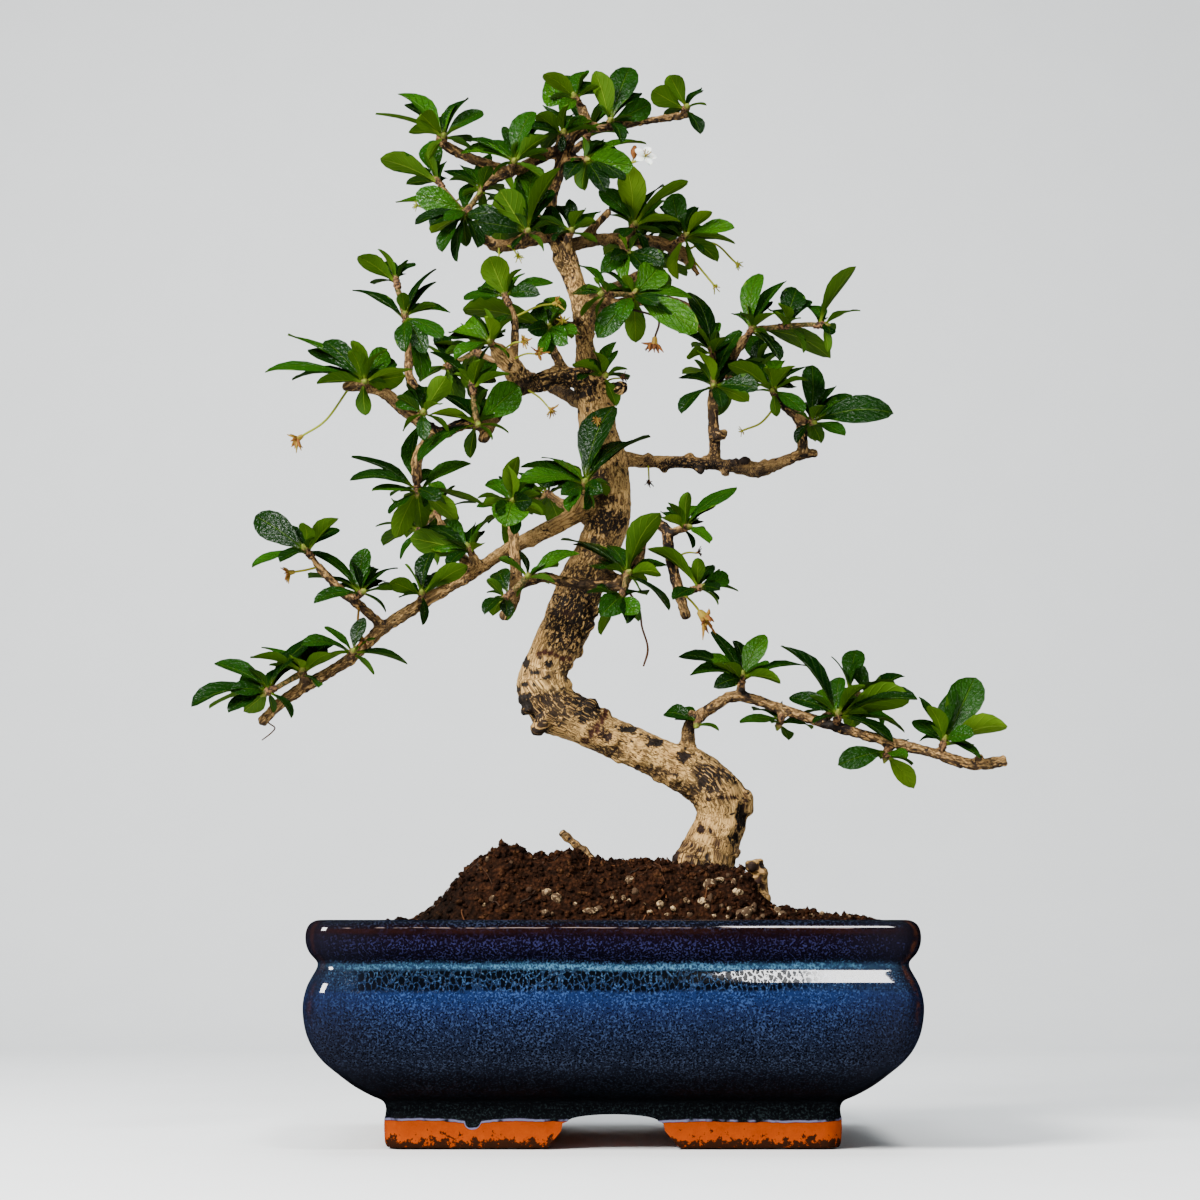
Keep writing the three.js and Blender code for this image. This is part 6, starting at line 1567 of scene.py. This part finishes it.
def make_shoots(shoots, materials):
    """Every shoot as one piece in place of its node: bud, stems and leaves, each leaf where the node
    has it. Listed leaves too small for the node are added where they are seen, and short leaves fill
    the rosette behind them."""
    for number, (name, buds) in enumerate(shoots.items()):
        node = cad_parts["leaves_" + name]
        corners = np.zeros(len(node.data.vertices) * 3, np.float32)
        node.data.vertices.foreach_get("co", corners)
        corners = corners.reshape(-1, 3).astype(float) * 1000 - SHIFT
        build = Build("shoot_" + name)
        rng = np.random.default_rng(number)
        for k, bud in enumerate(buds):
            add_bud(build, bud, buds[k - 1] if k else None, rng)
            for index, row in enumerate(bud["rows"]):
                places = [seen_leaf(bud, row, index, attempt) for attempt in TRIES]
                leaf = on_node(places, corners) or places[0]
                add_leaf(build, leaf, rng, LEAF_TONE_AND_SHADE[row[3]] + rng.uniform(-0.16, 0.2), LEAF_PLUMP)
            for count, (away, length) in enumerate(rule_leaves(bud)):
                index = len(bud["rows"]) + count
                places = [rule_leaf(bud, away, length, index, attempt) for attempt in TRIES]
                leaf = on_node(places, corners)
                if leaf is not None:
                    add_leaf(build, leaf, rng, 0.42 + rng.uniform(-0.25, 0.3), LEAF_PLUMP)
            for index, row in enumerate(EXTRA_LEAVES.get((name, k), [])):
                leaf = seen_leaf(bud, row, index + 5, (0, 0))
                add_leaf(build, leaf, rng, LEAF_TONE_AND_SHADE[row[3]] + rng.uniform(-0.16, 0.2), LEAF_PLUMP)
            fill_rosette(build, bud, rng, FILL.get(name, 5))
        ride(build.make(materials, 50), "leaf", "leaves_" + name)


def fill_rosette(build, bud, rng, fill):
    """Short leaves round the bud at the golden angle, leaning along its axis and away from the viewer."""
    back = not bud["rows"]
    side = unit(np.cross(bud["axis"], [0.2, 1.0, 0.3]))
    over = np.cross(bud["axis"], side)
    start = rng.uniform(0, 6.28)
    for k in range(6 if back else fill):
        turn = start + k * GOLDEN
        lean = rng.uniform(0.15, 0.9)
        away = unit(bud["axis"] * lean + side * math.cos(turn) + over * math.sin(turn)
                    + np.array([0, 0.15 if back else 0.55, 0.25]))
        length = rng.uniform(10, 17) if back else rng.uniform(7, 13)
        tip = bud["at"] + away * length
        across = unit(np.cross(away, [0, 0, 1]))
        up = unit(np.cross(across, away) + across * rng.uniform(-0.5, 0.5))
        add_leaf(build, (root_on(bud, k + 3), tip, up, length * rng.uniform(0.4, 0.48)), rng,
                 rng.uniform(0.05, 0.6), 1.0)


def add_bud(build, bud, before, rng):
    """A bud: a short scaly barrel along its axis with a green point, and the green stem to it."""
    at, axis = bud["at"], bud["axis"]
    shares = np.linspace(-1, 1, 9)
    path = at + axis * (shares * BUD_HALF_LENGTH * 0.92)[:, None]
    sizes = 1.3 * np.sqrt(np.maximum(0.1, 1 - np.maximum(shares, 0) ** 2 * 0.85)) * (1 + 0.14 * np.cos(shares * 14))
    points, faces = tube(path, sizes, 10, 0.25, int(abs(at[0] * 7)))
    green = np.clip(((points - at) @ axis) / BUD_HALF_LENGTH * 1.5 - 0.5, 0, 0.8)
    marks = np.column_stack([green * 0, green * 0, green, green * 0])
    build.add(points, faces, 2, marks)
    if before is not None:
        line, sizes = smooth_path([before["at"], (before["at"] + at) / 2 + rng.uniform(-0.4, 0.4, 3), at],
                                  [1.15, 1.0, 0.95], 1.5)
        points, faces = tube(line, sizes, 8, 0.2, 3)
        build.add(points, faces, 2, (0, 0, 0.12, 0))


# Flower ------------------------------------------------------------------------------------------


def make_flower(petal, dry):
    """The white flower: five cupped petals, stamens as short tubes, a stalk and a brown bud."""
    at = seen(645, 157, -12)
    facing = unit([0.25, -0.9, 0.35])
    across = unit(np.cross([0, 0, 1], facing))
    upright = np.cross(facing, across)
    rng = np.random.default_rng(7)
    flower = Build("white_flower")
    for i in range(5):
        turn = 2 * math.pi * i / 5
        out = across * math.cos(turn) + upright * math.sin(turn)
        leaf = (at, at + out * 4.3 + facing * 0.9, facing, 2.9)
        add_leaf(flower, leaf, rng, 0.5, 1.0, 0.8)
    flower.slots = [np.zeros(len(s), int) for s in flower.slots]
    for i in range(9):
        turn = GOLDEN * i
        out = across * math.cos(turn) + upright * math.sin(turn)
        end = at + facing * 2.4 + out * rng.uniform(0.6, 1.8)
        line, sizes = smooth_path([at, (at + end) / 2 + facing * 0.3, end], [0.14, 0.12, 0.24], 0.8)
        points, faces = tube(line, sizes, 5)
        flower.add(points, faces, 1, (0, 0, 0.35, 0))
    points, radii = limb_path([(608.6, 166.4, 3, -5.4), (630, 163, 3, -9), (644, 158, 3, -12)])
    line, sizes = smooth_path(points, radii, 1.0)
    points, faces = tube(line, sizes, 8)
    flower.add(points, faces, 1, (0, 0, 0.1, 0))
    bud = seen(634, 152, -10)
    line, sizes = smooth_path([bud + [0, 0, -2.2], bud, bud + [0.3, 0, 2.0]], [0.5, 1.35, 0.7], 0.6)
    points, faces = tube(line, sizes, 8, 0.1)
    flower.add(points, faces, 1, (0, 0, 0.62, 0))
    line, sizes = smooth_path([seen(632, 162, -9), bud + [0, 0, -2]], [0.3, 0.3], 1.0)
    points, faces = tube(line, sizes, 6)
    flower.add(points, faces, 1, (0, 0, 0.2, 0))
    ride(flower.make([petal, dry], 50), "petal", "flower")


# Soil --------------------------------------------------------------------------------------------


def soil_height(x, y):
    """Fill level with the root ball on it: its skyline along X, falling off to front and back."""
    share = np.clip((np.abs(y) - BALL_HALF_DEPTH) / (BALL_FOOT_DEPTH - BALL_HALF_DEPTH), 0, 1)
    fall = share * share * (3 - 2 * share)
    sky = np.interp(x, [p[0] for p in SKYLINE], [p[1] for p in SKYLINE])
    return FILL_LEVEL + (1 - fall) * (sky - FILL_LEVEL)


def soil_top(x, y):
    """Height of the finished surface: the form above with lumps and crumbs of noise on it."""
    spots = np.column_stack([x, y, np.zeros_like(x)])
    lumps = layered(spots, 0.12, 51, 2) * 0.9
    crumbs = layered(spots, 0.42, 61, 2) * 0.75
    return soil_height(x, y) + lumps + crumbs


def make_soil(soil, grit, bark, dry):
    """Soil surface as shrinking rings of a rounded rectangle raised by the height formula, closed by a
    wall and a floor; crumbs and grit as dented lumps and roots as thin tubes, each set on that surface."""
    outline = rounded_ring(9.5, 10, 60)
    shares = np.linspace(1, 0.004, 105) ** 0.9
    rings = [np.column_stack([rounded_ring(i, 10, 60), np.full(len(outline), z)])
             for i, z in ((29, 18.6), (15, 27.4), (8.7, 38.4), (7.3, 47.4), (9.0, 60))]
    for share in shares:
        x, y = (outline * share).T
        rings.append(np.column_stack([x, y, soil_top(x, y)]))
    around, count = len(outline), len(rings)
    cap = np.arange(around)
    marks = np.zeros((count * around, 4))
    points = np.vstack(rings)
    marks[:, 2] = blackness(points)
    marks[:, 1] = 0.5
    ground = Build("soil_bed")
    ground.add(points, [ring_faces(count, around), cap[::-1][None], (cap + (count - 1) * around)[None]], 0, marks)
    ride(ground.make([soil], 80), "soil", "soil")
    rng = np.random.default_rng(12)
    crumbs = Build("soil_crumbs")
    base, base_faces = lump_shape(1)
    for _ in range(4200):
        x, y = rng.uniform(-86, 86), rng.uniform(-66, 66)
        if rng.uniform() < 0.35:
            x, y = rng.uniform(-62, 66), rng.uniform(-60, 0)
        size = rng.uniform(0.45, 1.9) * rng.uniform(0.6, 1)
        at = np.array([x, y, soil_top(np.array([x]), np.array([y]))[0] + size * 0.25])
        crumbs.add(lumpy(base, at, size, rng), base_faces, 0,
                   (0, rng.uniform(0.1, 1), blackness(at[None])[0], 0))
    ride(crumbs.make([soil], 80), "soil")
    stones = Build("pale_grit")
    base, base_faces = lump_shape(2)
    for column, row, size in GRIT_SEEN:
        at = on_soil(column, row)
        if at is not None:
            stones.add(lumpy(base, at, size, rng), base_faces, 0,
                       (0, rng.uniform(0.4, 1), rng.uniform(0.1, 0.7), 0))
    for _ in range(230):
        x, y = rng.uniform(-84, 84), rng.uniform(-64, 64)
        if rng.uniform() < 0.5:
            x, y = rng.uniform(20, 84), rng.uniform(-66, -34)
        size = rng.uniform(0.4, 1.2)
        at = np.array([x, y, soil_top(np.array([x]), np.array([y]))[0] + size * 0.3])
        stones.add(lumpy(base, at, size, rng), base_faces, 0, (0, rng.uniform(0, 0.7), rng.uniform(0.3, 1), 0))
    ride(stones.make([grit], 60), "soil")
    roots = Build("fine_roots")
    for k in range(220):
        if k < 110:
            x, y = rng.uniform(-68, -44), rng.uniform(-42, 34)
            reach, age = rng.uniform(4, 12), rng.uniform(0.85, 1)
        else:
            x, y = rng.uniform(-66, 72), rng.uniform(-58, 30)
            reach, age = rng.uniform(2, 7), rng.uniform(0.7, 1)
        heading = rng.uniform(0, 6.28)
        xs = x + np.cumsum(np.append(0, np.cos(heading + rng.normal(0, 0.5, 5)) * reach / 5))
        ys = y + np.cumsum(np.append(0, np.sin(heading + rng.normal(0, 0.5, 5)) * reach / 5))
        lift = 0.2 + rng.uniform(0, 1.8) * np.sin(np.linspace(0.2, 3.0, 6))
        line = np.column_stack([xs, ys, soil_top(xs, ys) + lift])
        path, sizes = smooth_path(line, np.full(6, rng.uniform(0.12, 0.24)), 1.5)
        points, faces = tube(path, sizes, 5)
        roots.add(points, faces, 0, (0, 0, age, 0))
    ride(roots.make([dry], 60), "soil")
    twig = Build("dead_twig")
    points, radii = limb_path(TWIG)
    path, sizes = smooth_path(points, radii, 0.8)
    solid_points, faces = tube(path, sizes * (1 + 0.12 * np.cos(np.arange(len(sizes)) * 1.3)), 16, 0.12, 2)
    run = (solid_points - points[0]) @ unit(points[-1] - points[0])
    marks = np.column_stack([run / 100, solid_points[:, 1] / 100 + 0.5, run * 0, run * 0 + 0.6])
    twig.add(solid_points, faces, 0, marks)
    piece = twig.make([bark], 60)
    layer = piece.data.attributes.new("limb", "FLOAT", "POINT")
    layer.data.foreach_set("value", np.full(len(piece.data.vertices), 0.75, np.float32))
    ride(piece, "dead_wood", "twig")


def blackness(points):
    """Share of black mould and wet crumb: high round the trunk's foot and on the left slope."""
    centre = np.array([46.0, -6.0, 88.0])
    foot = 1 - np.clip((np.linalg.norm((points - centre) / [26, 30, 14], axis=1) - 0.3) / 0.9, 0, 1)
    slope = np.clip((-42 - points[:, 0]) / 14, 0, 1) * 0.8
    return np.clip(foot + slope, 0, 1)


def lump_shape(level):
    """A small ball of triangles: points and faces."""
    mesh = bmesh.new()
    bmesh.ops.create_icosphere(mesh, subdivisions=level, radius=1.0)
    points = np.array([v.co for v in mesh.verts])
    faces = np.array([[v.index for v in f.verts] for f in mesh.faces])
    mesh.free()
    return points, faces


def lumpy(base, at, size, rng):
    """The ball dented by noise and squashed by a random share on each axis, set at a place."""
    dents = 1 + 0.45 * noise(base * 1.2 + rng.uniform(0, 99, 3), 1.0, 9)
    return at + base * dents[:, None] * size * rng.uniform(0.5, 1.15, 3)


def on_soil(column, row):
    """The first place along the line of sight of a picture spot where the soil's surface is met."""
    for depth in np.arange(-68, 20, 0.5):
        at = seen(column, row, depth)
        if abs(at[0]) < 88 and soil_top(at[:1], at[1:2])[0] > at[2]:
            return at
    return None


# Pale stones seen on the soil: picture column, row and radius in millimetres
GRIT_SEEN = [
    (547, 893, 2.2), (556, 899, 1.9), (545, 913, 1.8), (552, 915, 1.2), (590, 911, 2.4), (598, 909, 1.6),
    (612, 897, 1.3), (618, 901, 1.3), (624, 898, 1.2), (629, 902, 1.2), (616, 893, 1.0), (630, 881, 1.6),
    (660, 905, 1.5), (673, 909, 1.4), (667, 915, 1.2), (686, 900, 1.2), (703, 902, 1.4), (711, 899, 2.0),
    (707, 907, 1.3), (710, 885, 1.8), (719, 880, 1.9), (734, 884, 1.7), (738, 893, 1.5), (729, 909, 1.4),
    (714, 916, 1.4), (728, 917, 1.4), (745, 915, 2.2), (752, 911, 1.3), (777, 911, 1.7), (783, 916, 1.4),
    (803, 912, 2.6), (812, 916, 1.4), (838, 915, 2.0), (846, 916, 1.3), (492, 899, 1.1), (644, 905, 1.1),
    (650, 912, 1.3), (690, 915, 1.4), (762, 917, 1.3), (822, 914, 1.3), (484, 905, 0.9), (575, 905, 1.0),
]


# Stage -------------------------------------------------------------------------------------------


def make_stage():
    """A pale floor that curves up into a wall behind, lights and the camera at the photograph's view."""
    side = 3.2
    profile = [(-1.8, -0.0006), (0.75, -0.0006)]
    for k in range(1, 13):
        turn = k / 12 * math.pi / 2
        profile.append((0.75 + 0.5 * math.sin(turn), -0.0006 + 0.5 * (1 - math.cos(turn))))
    profile.append((1.25, 3.2))
    points = [(x, y, z) for x in (-side, side) for y, z in profile]
    count = len(profile)
    faces = [(i + count, i + count + 1, i + 1, i) for i in range(count - 1)]
    mesh = bpy.data.meshes.new("floor")
    mesh.from_pydata(points, [], faces)
    mesh.shade_smooth()
    floor = bpy.data.objects.new("floor", mesh)
    bpy.context.scene.collection.objects.link(floor)
    p = Paint("floor", Roughness=0.85)
    grain = p.noise(0.02, 2.0)
    mesh.materials.append(p.finish(p.mix(grain, (0.76, 0.775, 0.78), (0.8, 0.815, 0.82)), 0.85))
    # Gloss shows the windows alone, as in a dark room with pale walls
    floor.visible_glossy = False
    world = bpy.data.worlds.new("studio")
    world.use_nodes = True
    world.cycles_visibility.glossy = False
    world.node_tree.nodes["Background"].inputs[0].default_value = (0.86, 0.93, 1.0, 1)
    world.node_tree.nodes["Background"].inputs[1].default_value = 0.2
    bpy.context.scene.world = world
    for name, place, target, size, power, colour, glossy in LIGHTS:
        data = bpy.data.lights.new(name, "AREA")
        data.shape = "RECTANGLE"
        data.size, data.size_y = size
        data.energy = power
        data.color = colour
        light = bpy.data.objects.new(name, data)
        light.location = place
        light.visible_glossy = glossy
        light.visible_camera = False
        light.rotation_euler = (Vector(target) - Vector(place)).to_track_quat("-Z", "Y").to_euler()
        bpy.context.scene.collection.objects.link(light)
    data = bpy.data.cameras.new("camera")
    data.sensor_width = 36
    data.lens = 36 * FOCAL / 1200
    data.clip_start = 0.05
    camera = bpy.data.objects.new("camera", data)
    camera.location = Vector((VIEW + SHIFT) / 1000)
    camera.rotation_euler = (math.pi / 2 + VIEW_PITCH, 0, 0)
    bpy.context.scene.collection.objects.link(camera)
    bpy.context.scene.camera = camera


# Name, place, point aimed at, width and height, watts, colour, whether gloss shows it
LIGHTS = [
    ("window_left", (-0.7, -0.78, 0.8), (0, 0, 0.18), (0.4, 0.4), 50, (1.0, 0.985, 0.96), True),
    ("window_right", (0.185, -0.74, 0.963), (0.07, -0.075, 0.055), (0.188, 0.19), 9, (1.0, 0.99, 0.98), True),
    ("low_fill", (-0.35, -1.25, 0.1), (0, 0, 0.12), (1.0, 0.5), 4, (0.97, 0.99, 1.0), False),
    ("sky", (0.0, 0.25, 1.3), (0, 0, 0.1), (1.0, 1.0), 18, (0.93, 0.97, 1.0), False),
]

make_stage()
shoots = {name: grow_buds(rows) for name, rows in SHOOTS.items()}
glaze, bark, dry = glaze_material(), bark_material(), dry_material()
make_pot(glaze)
make_wood(bark, dry, shoots)
make_shoots(shoots, [leaf_material("leaf_upper", True), leaf_material("leaf_under", False), stem_material()])
make_flower(petal_material(), dry)
make_soil(soil_material(), grit_material(), bark, dry)
screen = screen_material()
for name in ("screen_left", "screen_right"):
    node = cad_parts[name]
    node.data.materials.clear()
    node.data.materials.append(screen)
